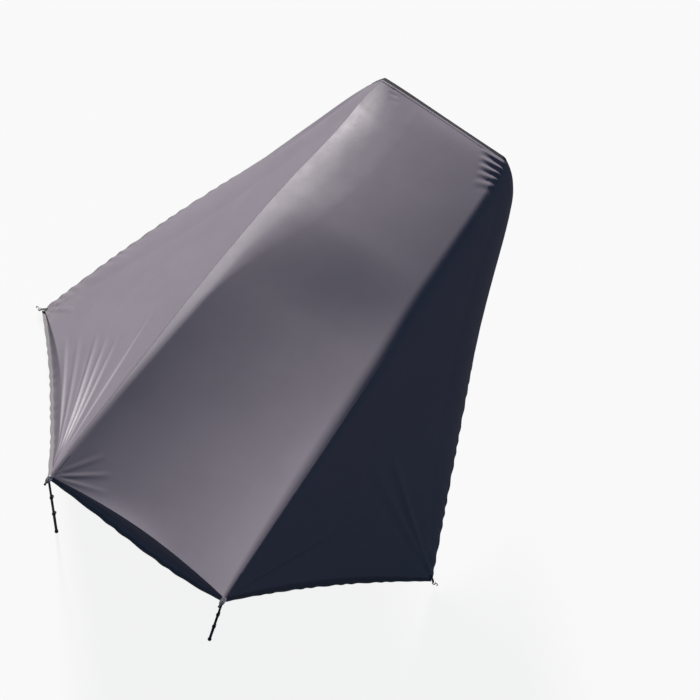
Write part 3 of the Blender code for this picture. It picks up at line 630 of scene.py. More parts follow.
@dataclass(frozen=True)
class Hard(Finish):
    """A hard finish: grain in its surface, a little mottle in its colour and gloss, and marks rubbed to the
    second colour."""

    metallic: float
    grain: float
    depth: float
    wear: float

    def material(self) -> bpy.types.Material:
        """Puts the finish together on the piece's own place.

        Returns:
            The material.
        """
        material, graph, shader, place = self.start()
        grain = graph.group(EFFECTS.grain, Place=place, Coarse=self.grain)
        marks = graph.group(EFFECTS.wear, Place=place, Amount=self.wear)["Mask"]
        base = graph.mix(grain["Mottle"], rgba(self.colour, 0.8), rgba(self.colour))
        graph.fill(shader, {
            "Base Color": graph.mix(graph.times(marks, 0.7), base, rgba(self.second)),
            "Roughness": graph.ramp(grain["Mottle"], 0.0, 1.0, self.roughness + 0.06, self.roughness - 0.05),
            "Metallic": self.metallic,
            "Normal": graph.bump(grain["Height"], self.depth, 0.5)})
        return material


@dataclass(frozen=True)
class Woven(Finish):
    """Webbing, tape, thread and braid: coarse threads that show, matt, and turned towards the lighter second
    colour on the threads' crowns, as painted highlight there and painted shade in their hollows, and in
    random patches."""

    pitch: float

    def material(self, along: Array | None = None, across: Array | None = None) -> bpy.types.Material:
        """The finished material, on the cloth chart, or on the two directions of a strap that has none.

        Args:
            along: The strap's direction.
            across: The direction of its width.

        Returns:
            The material.
        """
        material, graph, shader, place = self.start()
        if along is None:
            chart = graph.add("UVMap", uv_map="cloth").outputs[0]
        else:
            runs = [graph.add("VectorMath", {0: place, 1: tuple(way)}, operation="DOT_PRODUCT")
                    for way in (across, along)]
            parts = {k: run.outputs["Value"] for k, run in enumerate(runs)}
            chart = graph.add("CombineXYZ", parts).outputs[0]
        weave = graph.group(EFFECTS.weave, Chart=chart, Pitch=self.pitch)
        patches = graph.ramp(graph.noise(place, 45.0, 4.0, 0.6), 0.4, 0.8)
        # Painted highlight and shade: the colour turns to the lighter second colour on the threads' crowns
        # and stays dark in their hollows, averaged with random patches of tone.
        share = graph.times(graph.maths("ADD", weave["Shade"], patches), 0.5)
        graph.fill(shader, {
            "Base Color": graph.mix(share, rgba(self.colour), rgba(self.second)),
            "Roughness": graph.ramp(patches, 0.0, 1.0, self.roughness - 0.06, self.roughness + 0.06),
            "Normal": graph.bump(weave["Height"], self.pitch * 0.35, 0.8)})
        return material


WEBBING = Woven("webbing", (0.030, 0.030, 0.035), (0.060, 0.060, 0.068), 0.82, 0.0016)
FINISHES = (
    CoatedCloth("canopy", (0.168, 0.157, 0.182), (0.176, 0.164, 0.190), 0.53, (0.32, 0.29, 0.26), 0.80, 0.46,
                0.0007, 0.0004),
    CoatedCloth("hem", (0.152, 0.149, 0.154), (0.166, 0.162, 0.166), 0.62, (0.30, 0.28, 0.26), 0.80, 0.30,
                0.0009, 0.0010),
    Woven("elastic", (0.010, 0.010, 0.012), (0.022, 0.022, 0.026), 0.80, 0.0012),
    Woven("thread", (0.130, 0.122, 0.142), (0.160, 0.150, 0.172), 0.70, 0.0004),
    Hard("steel", (0.56, 0.56, 0.57), (0.66, 0.66, 0.67), 0.30, 1.0, 900.0, 0.00006, 0.5),
    Hard("tube", (0.040, 0.041, 0.045), (0.30, 0.30, 0.31), 0.40, 0.0, 1200.0, 0.00005, 0.35),
    Hard("plastic", (0.028, 0.028, 0.031), (0.060, 0.060, 0.064), 0.50, 0.0, 700.0, 0.00012, 0.3),
    Hard("rubber", (0.018, 0.018, 0.018), (0.050, 0.047, 0.044), 0.85, 0.0, 500.0, 0.00015, 0.6),
)


class Wardrobe:
    """All finishes as materials, and the way in which a piece gets one."""

    def __init__(self) -> None:
        """Makes every material once."""
        self.looks = {finish.name: finish.material() for finish in FINISHES}

    def dress(self, piece: Piece, look: str = "canopy", node: str = "") -> Piece:
        """Gives a sewn piece its finish and the canopy's body, and hides the frame's node that it stands for.

        Args:
            piece: The finished piece.
            look: Its finish, which is also its slot.
            node: The frame's node that it replaces, if any.

        Returns:
            The same piece.
        """
        piece.data.materials.append(self.looks[look])
        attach(piece, "canopy")
        if node:
            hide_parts(node)
        log.info("%s: %d faces", piece.name, len(piece.data.polygons))
        return piece

    def dress_nodes(self) -> None:
        """Gives each of the frame's hard nodes the finish of its slot, and each strap its own weave."""
        looks = dict(self.looks, webbing=self.looks["plastic"])
        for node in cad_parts.values():
            for spot in node.material_slots:
                name = spot.material.name if spot.material else ""
                spot.material = looks[next(filter(name.startswith, looks), "plastic")]
        for side in Side:
            for node, (along, across) in STRAPS.items():
                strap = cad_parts[f"{side.word}_{node}"]
                strap.material_slots[0].material = WEBBING.material(along * side.turn, across * side.turn)


# The directions of the left straps: along them, and across them
PEG_WAY, PEG_FACE = np.array([0.6729, 0.2774, -0.6858]), np.array([0.7326, -0.1209, 0.6699])
STRAPS = {
    "peg_webbing": (PEG_WAY, np.cross(PEG_FACE, PEG_WAY)),
    "hook_strap": (np.array([0.0539, 0.5781, -0.8142]), np.array([-0.0382, 0.8160, 0.5768])),
    "guy_loop": (BACK, np.array([1.0, 0.0, 0.0])),
}


# The canopy


@dataclass(frozen=True)
class CanopyForm:
    """Where the cloth is held and how it falls between: the awning's own sizes and its surfaces.

    The surfaces are given as the left side lies, at shares v from the collar, 0, to the rear edge, 1."""

    roof_half_width: float = 0.60
    shoulder: tuple[float, float, float] = (0.17, 0.04, -0.22)
    flank: tuple[float, float, float] = (0.33, 0.36, -0.80)
    shoulder_share: float = 0.33
    knee_back: float = 1.52
    knee_rise: float = 0.11
    knee_half_width: float = 0.62
    knee_round: float = 0.45
    pole_half_width: float = 0.85
    corner_rise: float = 0.29
    corner_back: float = 4.735
    wing_corner: tuple[float, float, float] = (2.20, 3.145, -1.69)
    front_edge: float = 0.0203
    fabric: float = 0.003
    roof_sag: float = 0.095
    sag_share: float = 0.78
    sag_start: float = 0.12
    swell: float = 0.066
    swell_start: float = 0.12
    left_ridge_bow: float = 0.075
    right_ridge_bow: float = 0.345
    ridge_sag: float = 0.02
    wing_sag: float = 0.03
    wing_fold: float = 0.8
    fold_softness: float = 0.3
    left_bow: float = 0.33
    facet_width: float = 0.105
    facet_rear: float = 0.03
    facet_tilt: float = 22.0
    facet_turn: float = 2.0
    facet_fall: float = 0.40
    rear_curve: float = 0.085
    rear_dip: float = 0.06
    rim: float = 0.022
    rim_fall: float = 0.08
    left_wing_curve: float = 0.12
    right_wing_curve: float = 0.08

    def bent(self, y: Array, values: tuple[float, float, float]) -> Array:
        """Two straight runs that meet at the knee, where a hyperbola rounds them.

        Args:
            y: Distances behind the collar.
            values: The heights or widths at the front edge, the knee and the pole corner.

        Returns:
            The heights or widths at y.
        """
        first = (values[1] - values[0]) / (self.knee_back - self.front_edge)
        away = y - self.knee_back
        turned = (away + np.sqrt(away**2 + self.knee_round**2) - self.knee_round) / 2
        end = self.corner_back - self.knee_back
        reach = (end + math.sqrt(end**2 + self.knee_round**2) - self.knee_round) / 2
        return values[1] + first * away + (values[2] - values[1] - first * end) * turned / reach

    def ridge(self, v: Array, side: Side) -> Array:
        """A ridge at v: straight runs between the front corner, the knee and the pole corner, less a smooth
        sag behind the knee. It bows outwards, on the left by 4v(1 - v) to the 0.8, and on the right by the
        root of v times 1 - v to the 1.2.

        Args:
            v: Shares from the collar, 0, to the rear edge, 1.
            side: Which ridge.

        Returns:
            Points of the ridge.
        """
        v = np.asarray(v, float)
        y = self.front_edge + (self.corner_back - self.front_edge) * v
        x = self.bent(y, (self.roof_half_width, self.knee_half_width, self.pole_half_width))
        if side is Side.LEFT:
            x = x + self.left_ridge_bow * (4 * v * (1 - v)) ** 0.8
        else:
            x = x + self.right_ridge_bow * v**0.5 * (1 - v) ** 1.2
        z = self.fabric / 2 + self.bent(y, (0.0, self.knee_rise, self.corner_rise))
        free = self.free(v)
        return np.stack([x, y, z - self.ridge_sag * 4 * free * (1 - free)], -1)

    def free(self, v: Array) -> Array:
        """The share of the way from the knee to the pole corner, starting off slowly."""
        share = np.clip((v * self.corner_back - self.knee_back) / (self.corner_back - self.knee_back), 0, 1)
        return share**2 * (1 + self.sag_start) / (share + self.sag_start)

    def front(self, t: Array) -> Array:
        """The front edge: a parabola through the roof's corner, the shoulder and the flank.

        Args:
            t: Shares from the roof's corner, 0, to the lower edge, 1.

        Returns:
            Points of the edge.
        """
        start = np.array([self.roof_half_width, self.front_edge, self.fabric / 2])
        foot = start * np.array([1.0, 1.0, 0.0])
        shoulder, flank = foot + np.array(self.shoulder), foot + np.array(self.flank)
        t = np.asarray(t, float)[..., None]
        share = self.shoulder_share
        return ((t - share) * (t - 1) / share * start + t * (t - 1) / (share * (share - 1)) * shoulder
                + t * (t - share) / (1 - share) * flank)

    def wing_inward(self) -> Array:
        """The level direction from the rear edge between pole corner and wing corner into the canopy."""
        run = np.array(self.wing_corner) - self.ridge(np.array(1.0), Side.LEFT)
        return unit(np.array([run[1], -run[0], 0.0]))

    def wing(self, t: Array, v: Array, side: Side) -> Array:
        """The wing: the four corners' bilinear patch, plus the ridge's and the front edge's departures from
        straight lines, a parabola at the rear edge, a soft fold where the lesser of t(1 - v) and v(1 - t)
        turns over, a sag of a parabola across times a sine along, and on the left an outward bow.

        Args:
            t: Shares from the ridge, 0, to the lower edge, 1.
            v: Shares from the collar, 0, to the rear edge, 1.
            side: Which wing.

        Returns:
            Points of the wing.
        """
        t, v = np.broadcast_arrays(np.asarray(t, float), np.asarray(v, float))
        top, flank = self.front(np.array(0.0)), self.front(np.array(1.0))
        low, high = np.array(self.wing_corner), self.ridge(np.array(1.0), side)
        before, behind = t * (1 - v), v * (1 - t)
        apart = (before - behind) ** 2 + self.fold_softness * before * behind
        lesser = (before + behind - np.sqrt(apart)) / 2
        fan = np.clip((t - v) / np.maximum(1 - v, 1e-6), 0, 1)
        bow = self.left_bow * v**0.6 * (1 - v) * t**1.5 if side is Side.LEFT else 0 * v
        curve = self.left_wing_curve if side is Side.LEFT else self.right_wing_curve
        t, v = t[..., None], v[..., None]
        flat = (1 - t) * ((1 - v) * top + v * high) + t * ((1 - v) * flank + v * low)
        ridge_part = (1 - t) * (self.ridge(v[..., 0], side) - (1 - v) * top - v * high)
        round_part = sum(self.front(share) - top - share[..., None] * (flank - top)
                         for share in (t[..., 0], fan)) / 2
        rear_part = v * curve * 4 * t * (1 - t) * self.wing_inward()
        fold_part = self.wing_fold * lesser[..., None] * (low - high - flank + top)
        sag = self.wing_sag * 4 * t * (1 - t) * np.sin(math.pi * v) * unit(np.array([-0.7, 0.0, -0.7]))
        run = low - flank
        out = unit(np.array([run[1], -run[0], 0.0]))
        return flat + ridge_part + (1 - v) * round_part + rear_part + fold_part + sag + bow[..., None] * out

    def roof(self, share: Array, v: Array, side: Side) -> Array:
        """The roof: a low dome before the knee, which rises from the collar exponentially and then slowly,
        and behind it a saddle of parabolas across, drawn in at the rear edge by v to the fifth.

        Args:
            share: Shares of the half width from the middle, 0, to the ridge, 1.
            v: Shares from the collar, 0, to the rear edge, 1.
            side: Which half.

        Returns:
            Points of the roof.
        """
        edge, free = self.ridge(v, side), self.free(v)
        bowl = 1 - share**2
        sag = self.roof_sag * np.sin(math.pi * free * self.sag_share)
        quick = 1 - np.exp(-(edge[..., 1] - self.front_edge) / self.swell_start)
        rise = 0.6 * quick + 0.4 * smoothstep(v / 0.3)
        swell = self.swell * rise * (1 - smoothstep((v - 0.30) / 0.20)) * bowl
        drop = (sag + self.rear_dip * free**3) * bowl
        return np.stack([edge[..., 0] * share, edge[..., 1] - self.rear_curve * v**5 * bowl,
                         edge[..., 2] - drop + swell], -1)

    def ridge_round(self, v: Array, side: Side) -> tuple[Array, Array]:
        """How wide the cloth goes over a ridge: the right one is alike on both sides, and the left one has a
        flat facet on its wing side and goes broadly over to the roof before the knee.

        Args:
            v: Shares from the collar, 0, to the rear edge, 1.
            side: Which ridge.

        Returns:
            Where the round starts on the roof's side, and how far beyond the ridge it ends.
        """
        if side is Side.RIGHT:
            soft = 0.025 + 0.085 * (4 * v * (1 - v)) ** 0.8
            return soft, soft
        soft = (0.03 + 0.35 * (1 - smoothstep((v - 0.2) / 0.38))) * (0.85 + 0.15 * smoothstep(v / 0.12))
        waist = 1 - 0.42 * np.exp(-(((v - 0.15) / 0.13) ** 2))
        wide = self.facet_rear + self.facet_width * (1 - smoothstep((v - 0.35) / 0.6)) * waist
        return soft, wide * (1 - v**12) ** 0.5

    def half(self, side: Side, v: Array, roof: int, band: int, slope: Array) -> Array:
        """One half of the canopy on a grid: the roof, the round of the ridge and the wing in one.

        The round is a curve of the second degree. The left facet tilts by facet_tilt, and by facet_turn more
        behind v = 0.4, so the wing starts above its own surface and comes down to it exponentially.

        Args:
            side: Which half.
            v: Shares from front to rear.
            roof: Cells across half the roof.
            band: Cells round the ridge.
            slope: Shares down the wing from where the round ends.

        Returns:
            Points from the middle of the roof to the lower edge, rows by columns by 3, as the left one lies.
        """
        rows = v[:, None]
        corner = self.ridge(rows, side)
        soft, wide = self.ridge_round(rows, side)
        level = self.roof(np.linspace(0, 1, roof + 1)[None] * (1 - soft / corner[..., 0]), rows, side)
        length = np.linalg.norm(self.wing(np.array(1.0), rows, side) - corner, axis=-1)
        down = self.wing(0.25 / length, rows, side) - corner
        tilt = self.facet_tilt + self.facet_turn * smoothstep((rows - 0.1) / 0.3)
        turn = (np.arctan2(-down[..., 2], down[..., 0]) - np.radians(tilt)) * (side is Side.LEFT)
        begins, height = wide * np.cos(turn) / length, wide * np.sin(turn)
        wing = self.wing(begins + (1 - begins) * slope[None], rows, side)
        raised = height * np.exp(-run_lengths(wing, 1) / self.facet_fall)
        wing = wing + grid_normals(wing) * raised[..., None]
        bend = np.linspace(0, 1, band + 1)[None, 1:-1, None]
        over = curve(bend, level[:, -1:], corner, wing[:, :1])
        return np.concatenate([level, over, wing], axis=1)


@dataclass(frozen=True)
class Fold:
    """One crease that runs out of a held corner and dies in the cloth: a crest with a valley on either side.

    It is height times rise times wave high. Rise is s to the 0.7 times 1 - s to the 0.8, over its greatest,
    where s runs from foot to tip. Wave is 1 - x to the power of point, under a bell curve, where x is the
    distance across over a half width that grows from 0.3 to the whole, and by lean steeper on one side."""

    foot: tuple[float, float]
    tip: tuple[float, float]
    height: float
    width: float
    lean: float = 0.0
    point: float = 1.6

    def lift(self, points: Array, start: Array, end: Array, normal: Array) -> Array:
        """How far this fold lifts each point of the cloth.

        Args:
            points: The cloth's grid.
            start: The fold's foot.
            end: The fold's tip.
            normal: The cloth's normal at the fold.

        Returns:
            One height for each point.
        """
        run = end - start
        length = np.linalg.norm(run)
        side = np.cross(normal, run / length)
        away = points - start
        s = (away @ run) / length**2
        inside = np.clip(s, 0.0, 1.0)
        top = 0.7 / 1.5
        rise = inside**0.7 * (1 - inside) ** 0.8 / (top**0.7 * (1 - top) ** 0.8)
        x = (away @ side) / (self.width * (0.3 + 0.7 * inside))
        x = np.abs(x * (1 + self.lean * np.sign(x)))
        wave = (1 - x**self.point) * np.exp(-(x**2) / 2)
        return np.where((s > 0) & (s < 1), self.height * rise * wave, 0.0)


# The folds of each panel, out of the pole corners, the wing corners, the roof's corners and the ridges
FOLDS = {
    Panel.LEFT_WING: (
        Fold((0.01, 1.000), (0.300, 0.725), 0.012, 0.028, 0.1, 1.4),
        Fold((0.01, 1.000), (0.395, 0.830), 0.012, 0.030, 0.1, 1.5),
        Fold((0.01, 1.000), (0.470, 0.860), 0.013, 0.030, 0.1, 1.5),
        Fold((0.02, 1.000), (0.550, 0.885), 0.012, 0.030, 0.1, 1.5),
        Fold((0.03, 1.000), (0.660, 0.934), 0.007, 0.036, 0.0, 1.6),
        Fold((0.04, 1.000), (0.740, 0.970), 0.008, 0.036, -0.30, 1.6),
        Fold((1.00, 1.000), (0.840, 0.930), 0.008, 0.026, 0.2, 1.4),
        Fold((1.00, 1.000), (0.890, 0.890), 0.007, 0.026, 0.0, 1.6),
        Fold((0.33, 0.000), (0.800, 0.260), 0.018, 0.090, 0.0, 1.8),
    ),
    Panel.RIGHT_WING: (
        Fold((1.00, 1.000), (0.400, 0.700), 0.016, 0.060, 0.3, 1.2),
        Fold((1.00, 0.990), (0.300, 0.715), 0.012, 0.080, 0.0, 1.6),
        Fold((0.00, 1.000), (0.420, 0.860), 0.008, 0.050, 0.0, 1.6),
    ),
    Panel.ROOF: (
        Fold((1.00, 0.004), (0.800, 0.040), -0.005, 0.026, 0.2, 1.2),
        Fold((-1.30, 0.008), (-0.620, 0.012), 0.013, 0.026, 0.0, 1.6),
        Fold((-1.30, 0.018), (-0.650, 0.028), 0.014, 0.026, 0.0, 1.6),
        Fold((-1.30, 0.026), (-0.680, 0.044), 0.014, 0.026, 0.0, 1.6),
        Fold((-1.30, 0.034), (-0.700, 0.061), 0.012, 0.026, 0.0, 1.6),
        Fold((-1.30, 0.042), (-0.720, 0.081), 0.008, 0.028, 0.0, 1.8),
        Fold((0.99, 0.998), (0.560, 0.942), 0.003, 0.030, 0.2, 1.5),
        Fold((0.99, 0.994), (0.720, 0.918), 0.002, 0.028, 0.2, 1.5),
        Fold((0.99, 0.999), (0.480, 0.975), 0.002, 0.030, 0.2, 1.5),
    ),
}


@dataclass
class CanopyCloth:
    """The canopy as one continuous grid, with its folds, cut into three panels along the ridges' seams."""

    form: CanopyForm
    rows: int = 296
    roof_cells: int = 44
    band_cells: int = 12
    wing_cells: int = 150
    thick: float = 0.0012

    def __post_init__(self) -> None:
        """Works out the grid: the bare form, then the folds and the slack."""
        self.v = spaced(self.rows, lambda x: 0.5 + 2.2 * smoothstep((x - 0.66) / 0.1) + 3 * np.exp(-x / 0.03))
        left, right = (self.form.half(side, self.v, self.roof_cells, self.band_cells, self.down_wing(near))
                       for side, near in ((Side.LEFT, 2.0), (Side.RIGHT, 0.0)))
        bare = np.concatenate([right[:, :0:-1] * ACROSS, left], axis=1)
        middle = self.roof_cells + self.band_cells + self.wing_cells
        self.left_seam = middle + self.roof_cells + self.band_cells
        self.right_seam = middle - self.roof_cells - self.band_cells // 2
        walked = run_lengths(bare, 1)
        self.beyond = {Side.LEFT: walked - walked[:, [self.left_seam]],
                       Side.RIGHT: walked[:, [self.right_seam]] - walked}
        normals = grid_normals(bare)
        lift = self.folds(bare, normals) + self.slack(bare)
        held = smoothstep(self.v / 0.012)[:, None]
        self.points = bare + normals * (lift * held)[..., None]
        self.normals = grid_normals(self.points)

    def down_wing(self, near: float) -> Array:
        """Shares down a wing, crowded at both its edges and by near over its upper part."""
        return spaced(self.wing_cells, lambda x: 1 + near * (1 - smoothstep((x - 0.45) / 0.25))
                      + 3 * np.exp(-x / 0.015) + 2 * np.exp((x - 1) / 0.02))

    def folds(self, bare: Array, normals: Array) -> Array:
        """All folds of the three panels, each faded out at its own panel's seams.

        Args:
            bare: The bare form's grid.
            normals: Its normals.

        Returns:
            One height for each point.
        """
        fade = 0.03
        left, right = self.beyond[Side.LEFT], self.beyond[Side.RIGHT]
        masks = {Panel.LEFT_WING: smoothstep(left / fade), Panel.RIGHT_WING: smoothstep(right / fade),
                 Panel.ROOF: smoothstep(-left / fade) * smoothstep(-right / fade + 0.5)}
        total = np.zeros(bare.shape[:2])
        for panel, creases in FOLDS.items():
            for fold in creases:
                start, end = (self.on_panel(panel, *spot) for spot in (fold.foot, fold.tip))
                near = np.linalg.norm(bare - (start + end) / 2, axis=-1)
                normal = normals[np.unravel_index(near.argmin(), near.shape)]
                total += masks[panel] * fold.lift(bare, start, end, normal)
        return total

    def on_panel(self, panel: Panel, share: float, v: float) -> Array:
        """A point of the bare form on a panel.

        Args:
            panel: The panel.
            share: How far down a wing, or across the roof from -1 to 1.
            v: How far from the collar, 0, to the rear edge, 1.

        Returns:
            The point.
        """
        side = Side.RIGHT if panel is Panel.RIGHT_WING or share < 0 else Side.LEFT
        surface = self.form.roof if panel is Panel.ROOF else self.form.wing
        return surface(np.array(abs(share)), np.array(v), side) * side.turn

    def slack(self, bare: Array) -> Array:
        """Slow swells of the whole cloth, ripples that die away from its free lower edges, and the rim where
        the taut rear edge stands up, a bell curve across.

        Args:
            bare: The bare form's grid.

        Returns:
            One height for each point.
        """
        random = np.random.default_rng(11)
        ripple_height, ripple_fade = 0.0030, 0.09
        across, along = run_lengths(bare, 1), run_lengths(bare, 0)
        total = np.zeros(bare.shape[:2])
        for size, wave in ((0.0014, 1.30), (0.0006, 0.62), (0.0002, 0.31)):
            for _ in range(4):
                angle, phase = random.uniform(0, math.pi, 2)
                total += size / 2 * np.sin(2 * math.pi / wave * (
                    math.cos(angle) * across + math.sin(angle) * along) + 2 * phase)
        for side in Side:
            edge = self.beyond[side][:, -1 if side is Side.LEFT else 0][:, None] - self.beyond[side]
            ripple = uneven(along, 0.14, 1.3, 0.61, side.value)
            total += ripple_height * ripple * np.exp(-edge / ripple_fade) * smoothstep(1 + edge)
        behind = along[-1] - along
        spot = bare[-1, :, 0] / self.form.pole_half_width
        bell = np.exp(-(((spot - 0.15) / 0.5) ** 2)) * np.clip(1 - spot**2, 0, 1)
        return total + self.form.rim * bell * np.exp(-behind / self.form.rim_fall)

    def columns(self, panel: Panel) -> slice:
        """The part of the grid that one panel takes.

        Args:
            panel: The panel.

        Returns:
            Its columns.
        """
        return {Panel.ROOF: slice(self.right_seam, self.left_seam + 1),
                Panel.LEFT_WING: slice(self.left_seam, None),
                Panel.RIGHT_WING: slice(None, self.right_seam + 1)}[panel]

    def side_view(self, side: Side) -> tuple[Array, Array, int]:
        """The cloth as the left side would have it.

        Args:
            side: The side that it is seen from.

        Returns:
            The grid, its normals and the seam's column.
        """
        if side is Side.LEFT:
            return self.points, self.normals, self.left_seam
        count = self.points.shape[1]
        return mirrored(self.points), mirrored(self.normals), count - 1 - self.right_seam


@dataclass
class Tailoring:
    """Everything that is cut and sewn: panels, drops, hems, collar, seams and the doubled corners."""

    cloth: CanopyCloth
    wardrobe: Wardrobe
    hem_width: float = 0.028
    hem_thick: float = 0.0032
    hem_lap: float = 0.003
    hem_ends: float = 0.06
    rear_hem_bow: float = -0.01
    left_rear_reach: float = 0.080
    right_rear_reach: float = 0.004
    valance_drop: float = 0.16
    wing_valance_drop: float = 0.17
    valance_end: float = 0.025
    drop_cells: int = 22
    flare: float = 0.06
    collar_back: float = 0.037
    collar_width: float = 0.040
    casing_width: float = 0.019
    casing_lap: float = 0.004
    casing_thick: float = 0.0024
    ruffle: float = 0.0005
    ruffle_pitch: float = 0.014
    cord_radius: float = 0.003
    seam_width: float = 0.012
    seam_thick: float = 0.0008
    patch_thick: float = 0.0012
    tongue_thick: float = 0.002
    pole_patch: tuple[float, float] = (0.034, 0.233)
    wing_patch: tuple[float, float] = (0.14, 0.22)

    def sewn(self, name: str, path: Array, normals: Array, turn: Array | float = 1.0) -> Piece:
        """A dressed row of stitches on a surface, brought to its side by turn."""
        return self.wardrobe.dress(stitches(name, path * turn, unit(normals * turn)), "thread")

    def hem(self, word: str, edge: Array, fall: Array, face: Array) -> list[Piece]:
        """The tape that binds a lower edge, and its two rows of stitches.

        Args:
            word: The start of its node's name.
            edge: The cloth's edge, N by 3.
            fall: The direction out of the edge in the cloth's plane.
            face: The cloth's outward normals.

        Returns:
            The tape and its stitches.
        """
        middle = edge + fall * (self.hem_width / 2 - self.hem_lap)
        tape = ribbon(f"{word}_hem_band", middle, fall, band_section(self.hem_width, self.hem_thick))
        pieces = [self.wardrobe.dress(tape, "hem", f"{word}_hem_tape")]
        face = square_to(face, fall)
        walked = run_lengths(middle)
        inside = (walked > self.hem_ends) & (walked < walked[-1] - self.hem_ends)
        for k, share in enumerate((-0.38, 0.38)):
            row = middle + fall * share * self.hem_width + face * self.hem_thick / 2
            pieces.append(self.sewn(f"{word}_hem_stitches_{k + 1}", row[inside], face[inside]))
        return pieces

    def valance(self, word: str, crest: Array, hem: Array, out: Array, flare: float, start: Array,
                turn: bool) -> None:
        """A drop from the crest of the rear edge to its hem, and the hem's tape: a curve of the third degree,
        steep from the crest on and flaring out at the hem, with slow scallops that grow towards the hem.

        Args:
            word: The start of its node's name.
            crest: The crest, N by 3.
            hem: The line of the hem, N by 3.
            out: The level direction outwards.
            flare: How far from the hem it turns outwards.
            start: The cloth's normals at the crest, which its first row shares.
            turn: Whether it is built on the left and belongs on the right.
        """
        fall = np.linalg.norm(hem - crest, axis=-1, keepdims=True)
        knee = crest + 0.45 * (hem - crest)
        turned = hem - unit(out - 0.12 * UP) * np.minimum(flare, 0.4 * fall)
        b = np.linspace(0, 1, self.drop_cells + 1)[:, None, None]
        grid = curve(b, crest, knee, turned, hem)
        walked = run_lengths(crest)
        wave = uneven(walked, 0.19, 1.1, 0.55) * 0.018
        grid = grid + out * (wave[:, None] * fall * b**1.5)
        if turn:
            grid, start = mirrored(grid), mirrored(start[None])[0]
        normals = grid_normals(grid)
        normals[0] = start
        tapes = self.hem(word, grid[-1], unit(grid[-1] - grid[-3]), normals[-1])
        piece = cloth_sheet(f"{word}_valance_cloth", grid, normals, self.cloth.thick)
        self.wardrobe.dress(piece, node=f"{word}_valance")

    def drops(self) -> None:
        """The three drops along the rear edge, which share the crest's normals with the panels."""
        form, cloth = self.cloth.form, self.cloth
        columns = cloth.columns(Panel.ROOF)
        crest = cloth.points[-1, columns]
        share = crest[:, 0] / form.pole_half_width
        bowl = np.clip(1 - share**2, 0, 1)
        hem = np.stack([crest[:, 0], form.corner_back + (self.rear_hem_bow - 0.03 * share) * bowl,
                        crest[:, 2] - self.valance_end - self.valance_drop * bowl], -1)
        lines = {"rear": (crest, hem, BACK, self.flare, columns, False)}
        low, high = np.array(form.wing_corner), form.ridge(np.array(1.0), Side.LEFT)
        for side in Side:
            points, _, seam = cloth.side_view(side)
            crest = points[-1, seam:]
            share = np.clip(np.linalg.norm(crest - high, axis=-1) / np.linalg.norm(low - high), 0, 1)
            bulge = 4 * share * (1 - share)
            reach = self.left_rear_reach if side is Side.LEFT else self.right_rear_reach
            hem = crest - bulge[:, None] * reach * form.wing_inward()
            hem = hem - UP * (self.valance_end + self.wing_valance_drop * bulge)[:, None]
            lines[f"{side.word}_rear"] = (crest, hem, -form.wing_inward(), self.flare / 3, slice(seam, None),
                                          side is Side.RIGHT)
        for word, (crest, hem, out, flare, columns, turn) in lines.items():
            normals = cloth.side_view(Side.RIGHT if turn else Side.LEFT)[1]
            start = unit(normals[-1, columns] + 0.6 * out)
            self.valance(word, crest, hem, out, flare, start, turn)

    def panels(self) -> None:
        """The three panels with their seams and lower hems."""
        cloth = self.cloth
        seams = []
        for side in Side:
            points, normals, seam = cloth.side_view(side)
            down = unit(points[:, seam + 1] - points[:, seam])
            face = square_to(normals[:, seam + 2], down)
            middle = points[:, seam] + down * self.seam_width / 2 + face * cloth.thick * 0.7
            strip = ribbon(f"{side.word}_ridge_seam", middle * side.turn, down * side.turn,
                           band_section(self.seam_width, self.seam_thick))
            seams.append(self.wardrobe.dress(strip))
            for k, share in enumerate((-0.3, 0.3)):
                row = middle + down * share * self.seam_width + face * self.seam_thick / 2
                seams.append(self.sewn(f"{side.word}_ridge_stitches_{k + 1}", row, face, side.turn))
        for panel in Panel:
            columns = cloth.columns(panel)
            grid, normals = cloth.points[:, columns], cloth.normals[:, columns]
            piece = cloth_sheet(f"{panel.value}_panel_cloth", grid, normals, cloth.thick)
            self.wardrobe.dress(piece, node=f"{panel.value}_panel")
            sewn = seams
            if panel is not Panel.ROOF:
                side = Side.LEFT if panel is Panel.LEFT_WING else Side.RIGHT
                edge, inner = (-1, -2) if side is Side.LEFT else (0, 1)
                fall = unit(grid[:, edge] - grid[:, inner])
                sewn = self.hem(f"{side.word}_front", grid[:, edge], fall, normals[:, edge])

